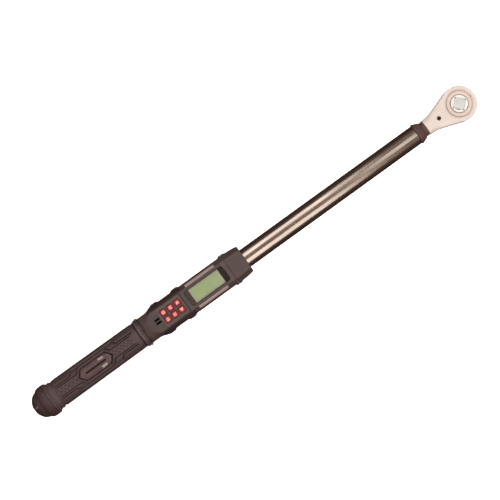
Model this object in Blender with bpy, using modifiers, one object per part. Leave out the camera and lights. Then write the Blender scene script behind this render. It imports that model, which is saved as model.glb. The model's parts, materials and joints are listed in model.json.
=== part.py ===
"""Electronic torque wrench with a 1/2 inch push-through square drive, in metres, +Z up.

The origin is the centre of the square drive's lower end. The ratchet turns about Z, the tool's
own axis runs along X at the height AXIS_Z, and the grip points towards -X. Heights called
"h" are measured from that axis. The display and the keys face up.
"""

import math

import bmesh
import bpy
from mathutils import Matrix, Vector

GAP = 0.0003  # clearance between neighbouring pieces
MERGE = 0.000001
ROUND = 28  # sides of a turned piece

# Ratchet head
DRIVE_SIDE = 0.0127
DRIVE_REACH = 0.0165  # how far the square stands out of the wheel
WHEEL_HEIGHT = 0.0258
HEAD_RADIUS = 0.022
HEAD_THICKNESS = 0.024
AXIS_Z = DRIVE_REACH + WHEEL_HEIGHT / 2
DRIVE_LENGTH = DRIVE_REACH + WHEEL_HEIGHT
BOSS_RADIUS = 0.0106
TEETH = 36
TOOTH_TIP = 0.0142
TOOTH_ROOT = 0.0130
COVER_RADIUS = 0.0168
COVER_HOLE = 0.0112
COVER_THICKNESS = 0.0038
BALL_RADIUS = 0.0024
BALL_TRAVEL = 0.0008  # how far a ball stands out of the square's face
BALL_FROM_END = 0.0075
BALL_SIDE = math.radians(225)  # direction of the square's face that the balls are in
NECK_RADIUS = 0.0097
JOURNAL_RADIUS = 0.0077
NECK_END = -0.0482
FLARE_ANGLE = math.radians(20)  # how fast the neck widens into the head
SET_SCREW_X = -0.0300

# Tube and measuring beam
TUBE_RADIUS = 0.0122
TUBE_BORE = 0.0105
TUBE_FRONT = -0.0625
TUBE_REAR = -0.6000
BEAM_FRONT = -0.0650
BEAM_REAR = -0.1500
BEAM_RADIUS = 0.0102
SPIGOT_RADIUS = 0.0060
SPIGOT_END = -0.0840
WAIST_FRONT = -0.0890
WAIST_REAR = -0.1130
WAIST_HALF = 0.0048
DOWEL_RADIUS = 0.0020
HEAD_DOWEL_X = -0.0745
BEAM_DOWELS_X = (-0.1240, -0.1420)
LEAD_ANGLE = math.radians(45)  # where the lead's slot runs along the beam's plug

# Housing
NOSE_FRONT = -0.3170
NOSE_REAR = -0.3395
SHELL_REAR = -0.4634
FACE_HALF = 0.0133  # half the width of the flat top face
FACE_H = 0.0215
SIDE_Y = 0.0183
SHOULDER_H = 0.0152
LOWER_H = -0.0090
BOTTOM_HALF = 0.0115
BOTTOM_H = -0.0195
WALL = 0.0022
NECK_SLEEVE_RADIUS = 0.0174
FLARE_X = (-0.4628, -0.4590, -0.4500)  # where the round end starts to flare into the housing
FLARE_SECTION = (0.0050, 0.0213, 0.0174, 0.0116, -0.0090, 0.0076, -0.0180)
FILLETS = (0.0012, 0.0020, 0.0030, 0.0030)
BUMPER_THICKNESS = 0.0013
BUMPER_Y = SIDE_Y + BUMPER_THICKNESS
BUMPER_REAR = -0.4520
RIBS_X = (
    # foot, top, top, foot
    (-0.4458, -0.4410, -0.4356, -0.4320),
    (-0.4145, -0.4115, -0.4050, -0.4020),
    (-0.3440, -0.3415, -0.3406, -0.3401),
)
RIB_Y = 0.0213
SCREW_Y = 0.0149
SCREWS_X = (-0.4515, -0.3480)

# Display and keypad
WINDOW_X = (-0.4010, -0.3450)
WINDOW_HALF = 0.0101
WINDOW_CORNER = 0.0026
LCD_X = (-0.3962, -0.3508)
LCD_HALF = 0.0097
BAR_X = (-0.3950, -0.3525)
BAR_Y = (0.0136, 0.0178)
BAR_THICKNESS = 0.0017
BAR_HEIGHTS = (0.0140, 0.0300)
BOARD_H = (0.0136, 0.0152)
BOARD_X = (-0.4500, -0.3460)
BOARD_HALF = 0.0115
BUZZER_X = -0.4450
SOUND_SLOT = (0.0072, 0.0018)
SOUND_SLOT_Y = 0.0020
KEY_HOLE = 0.0082
PLATE_HOLE = 0.0078
HOUSING_SCREW_SHANK = 0.0012
HOUSING_SCREW_HEAD = 0.0024
KEYPAD_X = (-0.4404, -0.4066)
KEYPAD_HALF = 0.0127
KEY_COLUMNS_X = (-0.4336, -0.4235, -0.4134)
KEY_Y = 0.0049
KEY_SIDE = 0.0072
KEY_NAMES = (
    ("key_power", "key_mode", "key_up"),
    ("key_memory", "key_units", "key_down"),
)

# Handle
RING_X = (-0.4740, -0.4638)
GRIP_X = (-0.5930, -0.4743)
GRIP_RADIUS = 0.0176
BADGE_X = -0.5366  # middle of the lozenge
BADGE_LENGTH = 0.0458
BADGE_HALF = 0.0084
BADGE_POINT = 0.0058  # length of each pointed end
BADGE_FLOOR = 0.0160
FERRULE_X = (-0.6066, -0.5933)
BULGE_RADIUS = 0.0205
CAP_END = -0.6280
PLUG_RADIUS = 0.0099
PLUG_BORE = 0.0079
PLUG_END = -0.5955
BATTERY_RADIUS = 0.0071
BATTERY_LENGTH = 0.0502
BATTERY_FIRST_X = -0.6035
SLEEVE_X = (-0.5940, -0.4410)
SLEEVE_RADIUS = 0.0102
SLEEVE_BORE = 0.0076

MATERIALS = {
    # name: (colour, roughness, metallic)
    "satin_steel": ((0.78, 0.74, 0.71), 0.32, 1.0),
    "polished_steel": ((0.86, 0.85, 0.84), 0.18, 1.0),
    "dark_steel": ((0.16, 0.15, 0.15), 0.40, 1.0),
    "plated_tube": ((0.42, 0.36, 0.33), 0.16, 1.0),
    "black_plastic": ((0.085, 0.072, 0.070), 0.48, 0.0),
    "black_rubber": ((0.040, 0.034, 0.033), 0.68, 0.0),
    "grip_rubber": ((0.078, 0.065, 0.064), 0.60, 0.0),
    "badge_plastic": ((0.16, 0.135, 0.14), 0.25, 0.0),
    "smoked_clear": ((0.30, 0.25, 0.23), 0.06, 0.0),
    "clear_plastic": ((0.80, 0.86, 0.78), 0.04, 0.0),
    "lcd_green": ((0.36, 0.48, 0.26), 0.30, 0.0),
    "white_plastic": ((0.85, 0.85, 0.82), 0.40, 0.0),
    "key_red": ((0.80, 0.06, 0.07), 0.35, 0.0),
    "board_green": ((0.02, 0.16, 0.07), 0.45, 0.0),
    "gauge_foil": ((0.70, 0.48, 0.20), 0.35, 0.4),
    "cable_black": ((0.03, 0.03, 0.03), 0.55, 0.0),
    "battery_case": ((0.15, 0.28, 0.42), 0.30, 0.6),
}


def start_scene():
    """Empties the scene and makes the object's collection."""
    for old in list(bpy.data.objects):
        bpy.data.objects.remove(old, do_unlink=True)
    made = bpy.data.collections.new("torque_wrench")
    bpy.context.scene.collection.children.link(made)
    return made


def make_materials():
    made = {}
    for name, (colour, roughness, metallic) in MATERIALS.items():
        material = bpy.data.materials.new(name)
        material.use_nodes = True
        shader = material.node_tree.nodes["Principled BSDF"]
        shader.inputs["Base Color"].default_value = (*colour, 1.0)
        shader.inputs["Roughness"].default_value = roughness
        shader.inputs["Metallic"].default_value = metallic
        made[name] = material
    return made


def add(name, data, location=(0, 0, 0), rotation=(0, 0, 0)):
    made = bpy.data.objects.new(name, data)
    made.location = location
    made.rotation_euler = rotation
    COLLECTION.objects.link(made)
    return made


def bake(piece):
    """Replaces a piece by its evaluated mesh, welded and with its faces pointing out."""
    bpy.context.view_layer.update()
    graph = bpy.context.evaluated_depsgraph_get()
    mesh = bpy.data.meshes.new_from_object(piece.evaluated_get(graph))
    solid = bmesh.new()
    solid.from_mesh(mesh)
    bmesh.ops.remove_doubles(solid, verts=solid.verts, dist=MERGE)
    bmesh.ops.dissolve_degenerate(solid, edges=solid.edges, dist=MERGE)
    bmesh.ops.recalc_face_normals(solid, faces=solid.faces)
    solid.to_mesh(mesh)
    solid.free()
    if piece.type == "MESH":
        piece.modifiers.clear()
        piece.data = mesh
        return piece
    name, place = piece.name, piece.matrix_world.copy()
    bpy.data.objects.remove(piece)
    baked = add(name, mesh)
    baked.matrix_world = place
    return baked


def combine(target, operation, *tools):
    """Joins, cuts or intersects a piece with others, which are used up."""
    for tool in tools:
        modifier = target.modifiers.new(operation.lower(), "BOOLEAN")
        modifier.operation = operation
        modifier.object = tool
        bake(target)
        bpy.data.objects.remove(tool)
    return target


def cut(target, *tools):
    return combine(target, "DIFFERENCE", *tools)


def join(target, *tools):
    return combine(target, "UNION", *tools)


def finish(piece, material):
    """Gives a piece its material and smooth round faces."""
    piece.data.materials.clear()
    piece.data.materials.append(PAINT[material])
    piece.data.shade_smooth()
    piece.data.set_sharp_from_angle(angle=math.radians(35))
    return piece


def block(name, size, centre, rotation=(0, 0, 0), edge=0.0):
    """A box, with its edges rounded when edge is more than nothing."""
    solid = bmesh.new()
    bmesh.ops.create_cube(solid, size=1.0)
    bmesh.ops.scale(solid, vec=size, verts=solid.verts)
    mesh = bpy.data.meshes.new(name)
    solid.to_mesh(mesh)
    solid.free()
    made = add(name, mesh, centre, rotation)
    return soften(made, edge) if edge else made


def soften(piece, width, angle=40):
    """Rounds a piece's sharp edges."""
    modifier = piece.modifiers.new("edge", "BEVEL")
    modifier.width = width
    modifier.segments = 1
    modifier.limit_method = "ANGLE"
    modifier.angle_limit = math.radians(angle)
    return bake(piece)


def turned(name, profile, centre, along="X", sides=ROUND):
    """A piece turned about an axis through centre. profile is (distance along, radius) pairs,
    a closed outline unless it begins and ends on the axis."""
    mesh = bpy.data.meshes.new(name)
    points = [(radius, 0.0, distance) for distance, radius in profile]
    edges = [(i, i + 1) for i in range(len(points) - 1)]
    if profile[0][1] > 0:
        edges.append((len(points) - 1, 0))
    mesh.from_pydata(points, edges, [])
    turn = {"X": (0, math.pi / 2, 0), "Y": (-math.pi / 2, 0, 0), "Z": (0, 0, 0)}[along]
    made = add(name, mesh, centre, turn)
    screw = made.modifiers.new("turn", "SCREW")
    screw.steps = screw.render_steps = sides
    screw.use_merge_vertices = True
    screw.merge_threshold = MERGE
    return bake(made)


def rod(name, radius, start, end, y=0.0, h=0.0, sides=24):
    """A round bar along X from start to end."""
    length = end - start
    profile = [(0, 0), (0, radius), (length, radius), (length, 0)]
    return turned(name, profile, (start, y, AXIS_Z + h), sides=sides)


def post(name, radius, bottom, top, x, y=0.0, sides=24):
    """A round bar along Z between two heights from the axis."""
    profile = [(bottom, 0), (bottom, radius), (top, radius), (top, 0)]
    return turned(name, profile, (x, y, AXIS_Z), along="Z", sides=sides)


def ring(name, bore, radius, start, end, sides=ROUND):
    """A plain sleeve along X."""
    length = end - start
    profile = [(0, bore), (0, radius), (length, radius), (length, bore)]
    return turned(name, profile, (start, 0, AXIS_Z), sides=sides)


def prism(name, outline, bottom, top, centre=(0, 0)):
    """A flat outline in XY, filled from one height to another."""
    curve = bpy.data.curves.new(name, "CURVE")
    curve.dimensions = "2D"
    curve.fill_mode = "BOTH"
    curve.extrude = (top - bottom) / 2
    spline = curve.splines.new("POLY")
    spline.points.add(len(outline) - 1)
    for point, (x, y) in zip(spline.points, outline):
        point.co = (x, y, 0, 1)
    spline.use_cyclic_u = True
    middle = AXIS_Z + (top + bottom) / 2
    return bake(add(name, curve, (centre[0], centre[1], middle)))


def wire(name, points, radius, detail=2):
    """A round wire through a list of points."""
    curve = bpy.data.curves.new(name, "CURVE")
    curve.dimensions = "3D"
    curve.bevel_depth = radius
    curve.bevel_resolution = detail
    curve.use_fill_caps = True
    spline = curve.splines.new("POLY")
    spline.points.add(len(points) - 1)
    for point, place in zip(spline.points, points):
        point.co = (*place, 1)
    return bake(add(name, curve))


def coil(name, start, direction, length, radius, gauge, turns, end_radius=None):
    """A compression spring from start along direction; end_radius makes it conical."""
    last = radius if end_radius is None else end_radius
    turn = Vector((0, 0, 1)).rotation_difference(Vector(direction)).to_matrix()
    steps = int(turns * 8)
    points = []
    for i in range(steps + 1):
        share = i / steps
        angle = 2 * math.pi * turns * share
        reach = radius + (last - radius) * share
        place = Vector((reach * math.cos(angle), reach * math.sin(angle), length * share))
        points.append(Vector(start) + turn @ place)
    return wire(name, points, gauge / 2, detail=1)


def rounded(corners, radii, steps=2):
    """A closed outline with an arc at each corner."""
    outline = []
    count = len(corners)
    for i, corner in enumerate(corners):
        here = Vector(corner)
        before = (Vector(corners[i - 1]) - here).normalized()
        after = (Vector(corners[(i + 1) % count]) - here).normalized()
        half = before.angle(after) / 2
        centre = here + (before + after).normalized() * radii[i] / math.sin(half)
        first = here + before * radii[i] / math.tan(half) - centre
        last = here + after * radii[i] / math.tan(half) - centre
        sweep = math.atan2(first.x * last.y - first.y * last.x, first.dot(last))
        for k in range(steps + 1):
            turn = Matrix.Rotation(sweep * k / steps, 2)
            outline.append(tuple(centre + turn @ first))
    return outline


def inset(corners, amount):
    """A convex outline's corners after each side moves in by amount."""
    moved = []
    count = len(corners)
    for i, corner in enumerate(corners):
        here = Vector(corner)
        before = (here - Vector(corners[i - 1])).normalized()
        after = (Vector(corners[(i + 1) % count]) - here).normalized()
        normals = [Vector((side.y, -side.x)) for side in (before, after)]
        middle = (normals[0] + normals[1]).normalized()
        moved.append(tuple(here + middle * amount / middle.dot(normals[0])))
    return moved


def loft(name, rings):
    """A skin through rings of points with the same count, closed at both ends."""
    solid = bmesh.new()
    rows = [[solid.verts.new(point) for point in points] for points in rings]
    count = len(rows[0])
    for one, two in zip(rows, rows[1:]):
        for i in range(count):
            j = (i + 1) % count
            solid.faces.new((one[i], one[j], two[j], two[i]))
    solid.faces.new(rows[0])
    solid.faces.new(list(reversed(rows[-1])))
    mesh = bpy.data.meshes.new(name)
    solid.to_mesh(mesh)
    solid.free()
    return bake(add(name, mesh))


# ---------------------------------------------------------------- ratchet head


def tooth_points(root, tip, early, late):
    """The saw-toothed outline of the wheel. early and late widen each tooth by an angle."""
    pitch = 2 * math.pi / TEETH
    outline = []
    for k in range(TEETH):
        start = pitch * k
        outline.append((root, start - early))
        outline.append((tip, start + 0.12 * pitch - early))
        outline.append((tip, start + 0.26 * pitch + late))
    return [(r * math.cos(a), r * math.sin(a)) for r, a in outline]


def square_outline(side, corner, steps=2):
    """A square with its corners on the X and Y axes."""
    reach = side / math.sqrt(2)
    corners = [(reach, 0), (0, reach), (-reach, 0), (0, -reach)]
    return rounded(corners, [corner] * 4, steps)


def neck_ring(x, half_width, half_height, power):
    """One section of the neck: round at a power of 2, squarer above it."""
    points = []
    for i in range(20):
        angle = 2 * math.pi * i / 20
        c, s = math.cos(angle), math.sin(angle)
        y = half_width * math.copysign(abs(c) ** (2 / power), c)
        z = half_height * math.copysign(abs(s) ** (2 / power), s)
        points.append((x, y, AXIS_Z + z))
    return points


def flare_half_width(x):
    """Half the width between the neck and the round end: a line that touches the end's circle,
    blended into the neck."""
    line = (HEAD_RADIUS + x * math.sin(FLARE_ANGLE)) / math.cos(FLARE_ANGLE)
    blend = 0.0012
    return (line + NECK_RADIUS + math.hypot(line - NECK_RADIUS, 2 * blend)) / 2


def make_ratchet_head():
    """Round head, flared neck, journal under the collar and spigot into the beam."""
    half = HEAD_THICKNESS / 2
    edge = 0.0012
    disc = [
        (-half, 0),
        (-half, HEAD_RADIUS - edge),
        (-half + edge, HEAD_RADIUS),
        (half - edge, HEAD_RADIUS),
        (half, HEAD_RADIUS - edge),
        (half, 0),
    ]
    head = turned("ratchet_head", disc, (0, 0, AXIS_Z), along="Z", sides=40)
    touch_x = -HEAD_RADIUS * math.sin(FLARE_ANGLE)
    stations = [NECK_END, -0.043, -0.038, -0.033, -0.028, -0.022, -0.015, touch_x]
    rings = []
    for x in stations:
        share = min(1.0, max(0.0, (x + 0.043) / 0.021))
        height = NECK_RADIUS - 0.0002 + (half - 0.0001 - NECK_RADIUS) * share
        width = flare_half_width(x) - 0.0001 if x > NECK_END else NECK_RADIUS
        rings.append(neck_ring(x, width, height, 2.1 + 5 * share))
    join(head, loft("neck", rings))
    join(head, rod("journal", JOURNAL_RADIUS, TUBE_FRONT - 0.002, NECK_END + 0.001, sides=24))
    join(head, rod("spigot", SPIGOT_RADIUS, SPIGOT_END, TUBE_FRONT, sides=24))

    floor = -half + 0.004
    cavity = post("cavity", TOOTH_TIP + GAP, floor, half + 0.01, 0, sides=30)
    seat = post("seat", COVER_RADIUS + GAP, half - COVER_THICKNESS - GAP, half + 0.01, 0, sides=36)
    hole = post("hole", BOSS_RADIUS + GAP, -half - 0.01, floor + 0.001, 0, sides=30)
    groove = ring_groove("groove", COVER_RADIUS - 0.001, COVER_RADIUS + 0.0011, half - 0.0021, half - 0.0007)
    pocket = block("pocket", (0.0130, 0.0096, 0.0150), (-0.0180, 0, AXIS_Z))
    spring_hole = rod("spring_hole", 0.0026, SET_SCREW_X, -0.0200)
    screw_hole = post("screw_hole", 0.0027, -0.0045, half + 0.01, SET_SCREW_X)
    dowel_hole = post("dowel_hole", DOWEL_RADIUS + GAP, -0.02, 0.02, HEAD_DOWEL_X)
    cut(head, cavity, seat, hole, groove, pocket, spring_hole, screw_hole, dowel_hole)
    return finish(head, "satin_steel")


def ring_groove(name, inner, outer, bottom, top):
    """A flat ring about the ratchet's axis."""
    profile = [(bottom, inner), (bottom, outer), (top, outer), (top, inner)]
    return turned(name, profile, (0, 0, AXIS_Z), along="Z", sides=36)


def make_ratchet_wheel():
    """Toothed wheel with a boss on each side, a square hole and a track for the balls."""
    half = WHEEL_HEIGHT / 2
    bottom = -HEAD_THICKNESS / 2 + 0.004 + GAP
    top = HEAD_THICKNESS / 2 - COVER_THICKNESS - 2 * GAP
    wheel = prism("ratchet_wheel", tooth_points(TOOTH_ROOT, TOOTH_TIP, 0, 0), bottom, top)
    join(wheel, post("boss", BOSS_RADIUS, -half, half, 0, sides=32))
    hole = prism("hole", square_outline(DRIVE_SIDE + 2 * GAP, 0.0002, 1), -0.02, 0.02)
    reach = DRIVE_SIDE / 2
    centre = (reach * math.cos(BALL_SIDE), reach * math.sin(BALL_SIDE), AXIS_Z)
    track = block("track", (0.0022, 0.0046, 0.04), centre, (0, 0, BALL_SIDE))
    cut(wheel, hole, track)
    return finish(wheel, "polished_steel")


def ball_heights():
    return {"lower": BALL_FROM_END, "upper": DRIVE_LENGTH - BALL_FROM_END}


def make_square_drive():
    """The square bar that pushes through the wheel, its two balls and their springs."""
    chamfer = 0.0011
    drive = prism(
        "square_drive",
        square_outline(DRIVE_SIDE, 0.0013),
        -AXIS_Z,
        DRIVE_LENGTH - AXIS_Z,
    )
    drive = soften(drive, chamfer / 2, angle=60)
    side = Vector((math.cos(BALL_SIDE), math.sin(BALL_SIDE), 0))
    face = DRIVE_SIDE / 2
    for name, z in ball_heights().items():
        hole_depth = 0.0100
        well = turned(
            "well",
            [(0, 0), (0, BALL_RADIUS + 0.0002), (hole_depth, BALL_RADIUS + 0.0002), (hole_depth, 0)],
            (0, 0, 0),
            along="Z",
            sides=20,
        )
        well.rotation_euler = (math.pi / 2, 0, BALL_SIDE + math.pi / 2)
        well.location = side * (face - hole_depth + 0.001) + Vector((0, 0, z))
        cut(drive, well)
        ball = add(f"socket_ball_{name}", bpy.data.meshes.new("ball"))
        solid = bmesh.new()
        bmesh.ops.create_uvsphere(solid, u_segments=14, v_segments=8, radius=BALL_RADIUS)
        solid.to_mesh(ball.data)
        solid.free()
        ball.location = side * (face + BALL_TRAVEL - BALL_RADIUS) + Vector((0, 0, z))
        finish(ball, "polished_steel")
        bottom = side * (face - hole_depth + 0.001 + 0.0007) + Vector((0, 0, z))
        spring = coil(f"ball_spring_{name}", bottom, side, 0.0031, 0.0014, 0.0005, 2.5)
        finish(spring, "dark_steel")
    return finish(drive, "polished_steel")


def make_pawl():
    """Sliding pawl whose nose is cut to the wheel's teeth, with a hole for its spring."""
    pawl = block("pawl", (0.0100, 0.0090, 0.0143), (-0.0174, 0, AXIS_Z))
    slack = GAP / TOOTH_ROOT
    teeth = prism("teeth", tooth_points(TOOTH_ROOT + GAP, TOOTH_TIP + GAP, slack, slack), -0.02, 0.02)
    cut(pawl, teeth, rod("spring_seat", 0.0024, -0.0230, -0.0185))
    finish(pawl, "dark_steel")
    start = (SET_SCREW_X + 0.0028, 0, AXIS_Z)
    spring = coil("pawl_spring", start, (1, 0, 0), 0.0080, 0.0017, 0.0005, 4)
    finish(spring, "polished_steel")


def make_head_fittings():
    """Cover plate and its snap ring over the wheel, and the pawl's set screw."""
    half = HEAD_THICKNESS / 2
    top = half - 0.0020
    plate = [
        (half - COVER_THICKNESS, COVER_HOLE),
        (half - COVER_THICKNESS, COVER_RADIUS),
        (top - 0.0002, COVER_RADIUS),
        (top - 0.0002, COVER_RADIUS - 0.0014),
        (half - 0.0001, COVER_RADIUS - 0.0014),
        (half - 0.0001, COVER_HOLE),
    ]
    cover = turned("wheel_cover", plate, (0, 0, AXIS_Z), along="Z", sides=36)
    finish(cover, "satin_steel")
    snap = ring_groove(
        "cover_snap_ring", COVER_RADIUS - 0.0011, COVER_RADIUS + 0.0008, top + 0.0001, half - 0.0009
    )
    cut(snap, block("gap", (0.006, 0.0024, 0.004), (COVER_RADIUS, 0, AXIS_Z + top)))
    finish(snap, "dark_steel")
    screw = post("pawl_set_screw", 0.0024, -0.0042, 0.0086, SET_SCREW_X)
    socket = post("socket", 0.00145, 0.0064, 0.02, SET_SCREW_X, sides=6)
    finish(cut(screw, socket), "dark_steel")


# ---------------------------------------------------------------- tube and beam


def make_measuring_beam():
    """The bar inside the tube whose bending is measured, with a gauge on each side."""
    beam = rod("measuring_beam", BEAM_RADIUS, BEAM_REAR, BEAM_FRONT, sides=28)
    cut(beam, rod("bore", SPIGOT_RADIUS + GAP, SPIGOT_END - GAP, 0, sides=24))
    middle = (WAIST_FRONT + WAIST_REAR) / 2
    length = WAIST_FRONT - WAIST_REAR
    for side in (-1, 1):
        y = side * (WAIST_HALF + 0.01)
        cut(beam, block("relief", (length, 0.02, 0.03), (middle, y, AXIS_Z)))
    slot_length = WAIST_REAR - BEAM_REAR + 0.004
    slot_x = BEAM_REAR + slot_length / 2 - 0.001
    reach = 0.0092 * math.sin(LEAD_ANGLE)
    slot_centre = (slot_x, reach, AXIS_Z + reach)
    cut(beam, block("lead_slot", (slot_length, 0.0034, 0.0060), slot_centre, (-LEAD_ANGLE, 0, 0)))
    cut(beam, post("head_hole", DOWEL_RADIUS + GAP, -0.02, 0.02, HEAD_DOWEL_X))
    cut(beam, *(dowel("hole", x, DOWEL_RADIUS + GAP, 0.02) for x in BEAM_DOWELS_X))
    finish(beam, "satin_steel")
    for name, side in (("left", 1), ("right", -1)):
        y = side * (WAIST_HALF + GAP + 0.0002)
        gauge = block(f"strain_gauge_{name}", (0.0110, 0.0004, 0.0070), (middle, y, AXIS_Z))
        finish(gauge, "gauge_foil")


def dowel(name, x, radius, reach):
    """A cross pin along Y."""
    profile = [(-reach, 0), (-reach, radius), (reach, radius), (reach, 0)]
    return turned(name, profile, (x, 0, AXIS_Z), along="Y", sides=16)


def make_dowels():
    pin = post("head_dowel", DOWEL_RADIUS, -0.0096, 0.0096, HEAD_DOWEL_X, sides=20)
    finish(pin, "polished_steel")
    for name, x in zip(("front", "rear"), BEAM_DOWELS_X):
        finish(dowel(f"beam_dowel_{name}", x, DOWEL_RADIUS, 0.0118), "polished_steel")


def make_tube():
    """The long plated tube, which runs from the collar to the battery cap."""
    tube = ring("tube", TUBE_BORE, TUBE_RADIUS, TUBE_REAR, TUBE_FRONT, sides=36)
    holes = [dowel("hole", x, DOWEL_RADIUS + GAP, 0.02) for x in BEAM_DOWELS_X]
    lead_hole = post("lead_hole", 0.0030, 0.005, 0.02, -0.3560)
    cut(tube, *holes, lead_hole)
    return finish(tube, "plated_tube")


def make_tube_collar():
    """Tapered collar that closes the tube's mouth around the neck."""
    start = TUBE_FRONT + GAP
    length = NECK_END - GAP - start
    profile = [
        (0, JOURNAL_RADIUS + GAP),
        (0, 0.0128),
        (0.0004, 0.0134),
        (0.0020, 0.0133),
        (0.0031, 0.0127),
        (0.0050, 0.0121),
        (0.0092, 0.0102),
        (0.0098, 0.0098),
        (length - 0.0008, 0.0096),
        (length, 0.0092),
        (length, JOURNAL_RADIUS + GAP),
    ]
    return finish(turned("tube_collar", profile, (start, 0, AXIS_Z)), "black_plastic")


def smooth_route(places, steps):
    """A smooth curve through a list of places (Catmull-Rom)."""
    ends = [places[0], *places, places[-1]]
    route = []
    for i in range(len(places) - 1):
        a, b, c, d = (Vector(ends[i + k]) for k in range(4))
        for k in range(steps):
            t = k / steps
            straight = 2 * b + (c - a) * t
            bend = (2 * a - 5 * b + 4 * c - d) * t * t
            twist = (3 * b - a - 3 * c + d) * t * t * t
            route.append((straight + bend + twist) / 2)
    route.append(Vector(places[-1]))
    return route


def make_gauge_lead():
    """Lead from the strain gauges, over the beam's plug and up to the main board."""
    route = [
        (-0.1030, 0.0076, 0.0),
        (-0.1070, 0.0072, 0.0032),
        (-0.1105, 0.0060, 0.0056),
        (-0.1160, 0.0058, 0.0058),
        (-0.1520, 0.0058, 0.0058),
        (-0.1800, 0.0020, -0.0020),
        (-0.2300, -0.0010, -0.0080),
        (-0.2900, 0.0015, -0.0080),
        (-0.3350, 0.0, -0.0020),
        (-0.3530, 0.0, 0.0060),
        (-0.3560, 0.0, 0.0132),
    ]
    places = [(x, y, AXIS_Z + h) for x, y, h in route]
    lead = wire("gauge_lead", smooth_route(places, 3), 0.0011, detail=1)
    return finish(lead, "cable_black")


# ---------------------------------------------------------------- housing


def body_corners(face_half, face_h, side_y, shoulder_h, lower_h, bottom_half, bottom_h):
    """The eight corners of the housing's section, clockwise from the top left, as (y, h)."""
    right = [
        (face_half, face_h),
        (side_y, shoulder_h),
        (side_y, lower_h),
        (bottom_half, bottom_h),
    ]
    left = [(-y, h) for y, h in reversed(right)]
    return right + left


def round_corners(radius):
    """The same eight corners for a round section."""
    short = radius * math.tan(math.radians(22.5))
    return body_corners(short, radius, radius, short, -short, short, -radius)


def section(x, corners, radii):
    """A ring of points across the tool at x."""
    return [(x, y, AXIS_Z + h) for y, h in rounded(corners, radii)]


def housing_solid(name, margin, start, end):
    """The housing's outside, or its inside when margin is the wall's thickness."""
    main = inset(
        body_corners(FACE_HALF, FACE_H, SIDE_Y, SHOULDER_H, LOWER_H, BOTTOM_HALF, BOTTOM_H),
        margin,
    )
    sleeve = inset(round_corners(NECK_SLEEVE_RADIUS), margin)
    middle = inset(body_corners(*FLARE_SECTION), margin)
    fillets = [max(0.0004, radius - margin) for radius in (*FILLETS, *reversed(FILLETS))]
    round_fillets = [0.97 * (NECK_SLEEVE_RADIUS - margin)] * 8
    soft_fillets = [0.0030 - margin / 2] * 8
    rings = [section(start, sleeve, round_fillets)]
    if start < FLARE_X[0]:
        rings.append(section(FLARE_X[0], sleeve, round_fillets))
        rings.append(section(FLARE_X[1], middle, soft_fillets))
    rings.append(section(FLARE_X[2], main, fillets))
    rings.append(section(end, main, fillets))
    return loft(name, rings)


def boss_ends():
    return [(x, side * SCREW_Y) for x in SCREWS_X for side in (-1, 1)]


def make_cover_shell(name, keep_top):
    """One half of the housing, with its screw bosses, before its windows are cut."""
    shell = housing_solid(name, 0, SHELL_REAR, NOSE_REAR - GAP)
    cut(shell, housing_solid("inside", WALL, -0.4570, NOSE_REAR + 0.002))
    for x, y in boss_ends():
        boss = post("boss", 0.0027, -0.0150, 0.0110, x, y, sides=12)
        join(shell, combine(boss, "INTERSECT", housing_solid("outside", 0.0004, SHELL_REAR, NOSE_REAR)))
    cut(shell, rod("tube_space", TUBE_RADIUS + GAP, -0.5, -0.3, sides=32))
    height = 0.05
    side = 1 if keep_top else -1
    middle = AXIS_Z + side * (height / 2 + GAP / 2)
    centre = ((SHELL_REAR + NOSE_REAR) / 2, 0, middle)
    return combine(shell, "INTERSECT", block("half", (0.2, 0.06, height), centre))


def slope():
    """Middle of the housing's right shoulder as (y, h), and the shoulder's lean from flat."""
    middle = ((FACE_HALF + SIDE_Y) / 2, (FACE_H + SHOULDER_H) / 2)
    lean = math.atan2(FACE_H - SHOULDER_H, SIDE_Y - FACE_HALF)
    return middle, lean


def shoulder_plate(name, side, width, thickness, depth, x_range):
    """A flat strip that lies in the shoulder, its top at depth under the surface."""
    (y, h), lean = slope()
    inward = depth + thickness / 2
    y -= inward * math.sin(lean)
    h -= inward * math.cos(lean)
    length = x_range[1] - x_range[0]
    centre = ((x_range[0] + x_range[1]) / 2, side * y, AXIS_Z + h)
    return block(name, (length, width, thickness), centre, (-side * lean, 0, 0))


def flat_box(name, x_range, half_width, h_range):
    """A box across the tool between two heights."""
    size = (x_range[1] - x_range[0], 2 * half_width, h_range[1] - h_range[0])
    centre = (sum(x_range) / 2, 0, AXIS_Z + sum(h_range) / 2)
    return block(name, size, centre)


def grown(x_range, amount):
    return (x_range[0] - amount, x_range[1] + amount)


def window_outline(margin):
    """The display window's outline, with rounded corners, grown by margin."""
    (start, end), half = grown(WINDOW_X, margin), WINDOW_HALF + margin
    corners = [(start, half), (end, half), (end, -half), (start, -half)]
    return rounded(corners, [WINDOW_CORNER + margin] * 4, 3)


def make_front_cover():
    """The upper shell: display opening, light bar slots, keypad recess and sound slots."""
    cover = make_cover_shell("front_cover", True)
    cut(cover, prism("display", window_outline(0), 0.015, 0.030))
    for side in (-1, 1):
        cut(cover, prism("slot", mirrored(bar_outline(GAP), side), BAR_HEIGHTS[0] - GAP, 0.030))
    cut(cover, flat_box("recess", grown(KEYPAD_X, GAP), KEYPAD_HALF + GAP, (FACE_H - 0.0009, 0.03)))
    for x in KEY_COLUMNS_X:
        for side in (-1, 1):
            centre = (x, side * KEY_Y, AXIS_Z + 0.020)
            cut(cover, block("key_hole", (KEY_HOLE, KEY_HOLE, 0.01), centre))
    for side in (-1, 1):
        centre = (BUZZER_X, side * SOUND_SLOT_Y, AXIS_Z + 0.020)
        cut(cover, block("sound_slot", (*SOUND_SLOT, 0.01), centre))
    for x, y in boss_ends():
        cut(cover, post("pilot", HOUSING_SCREW_SHANK + GAP, -0.005, 0.0085, x, y, sides=12))
    return finish(cover, "black_plastic")


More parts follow.
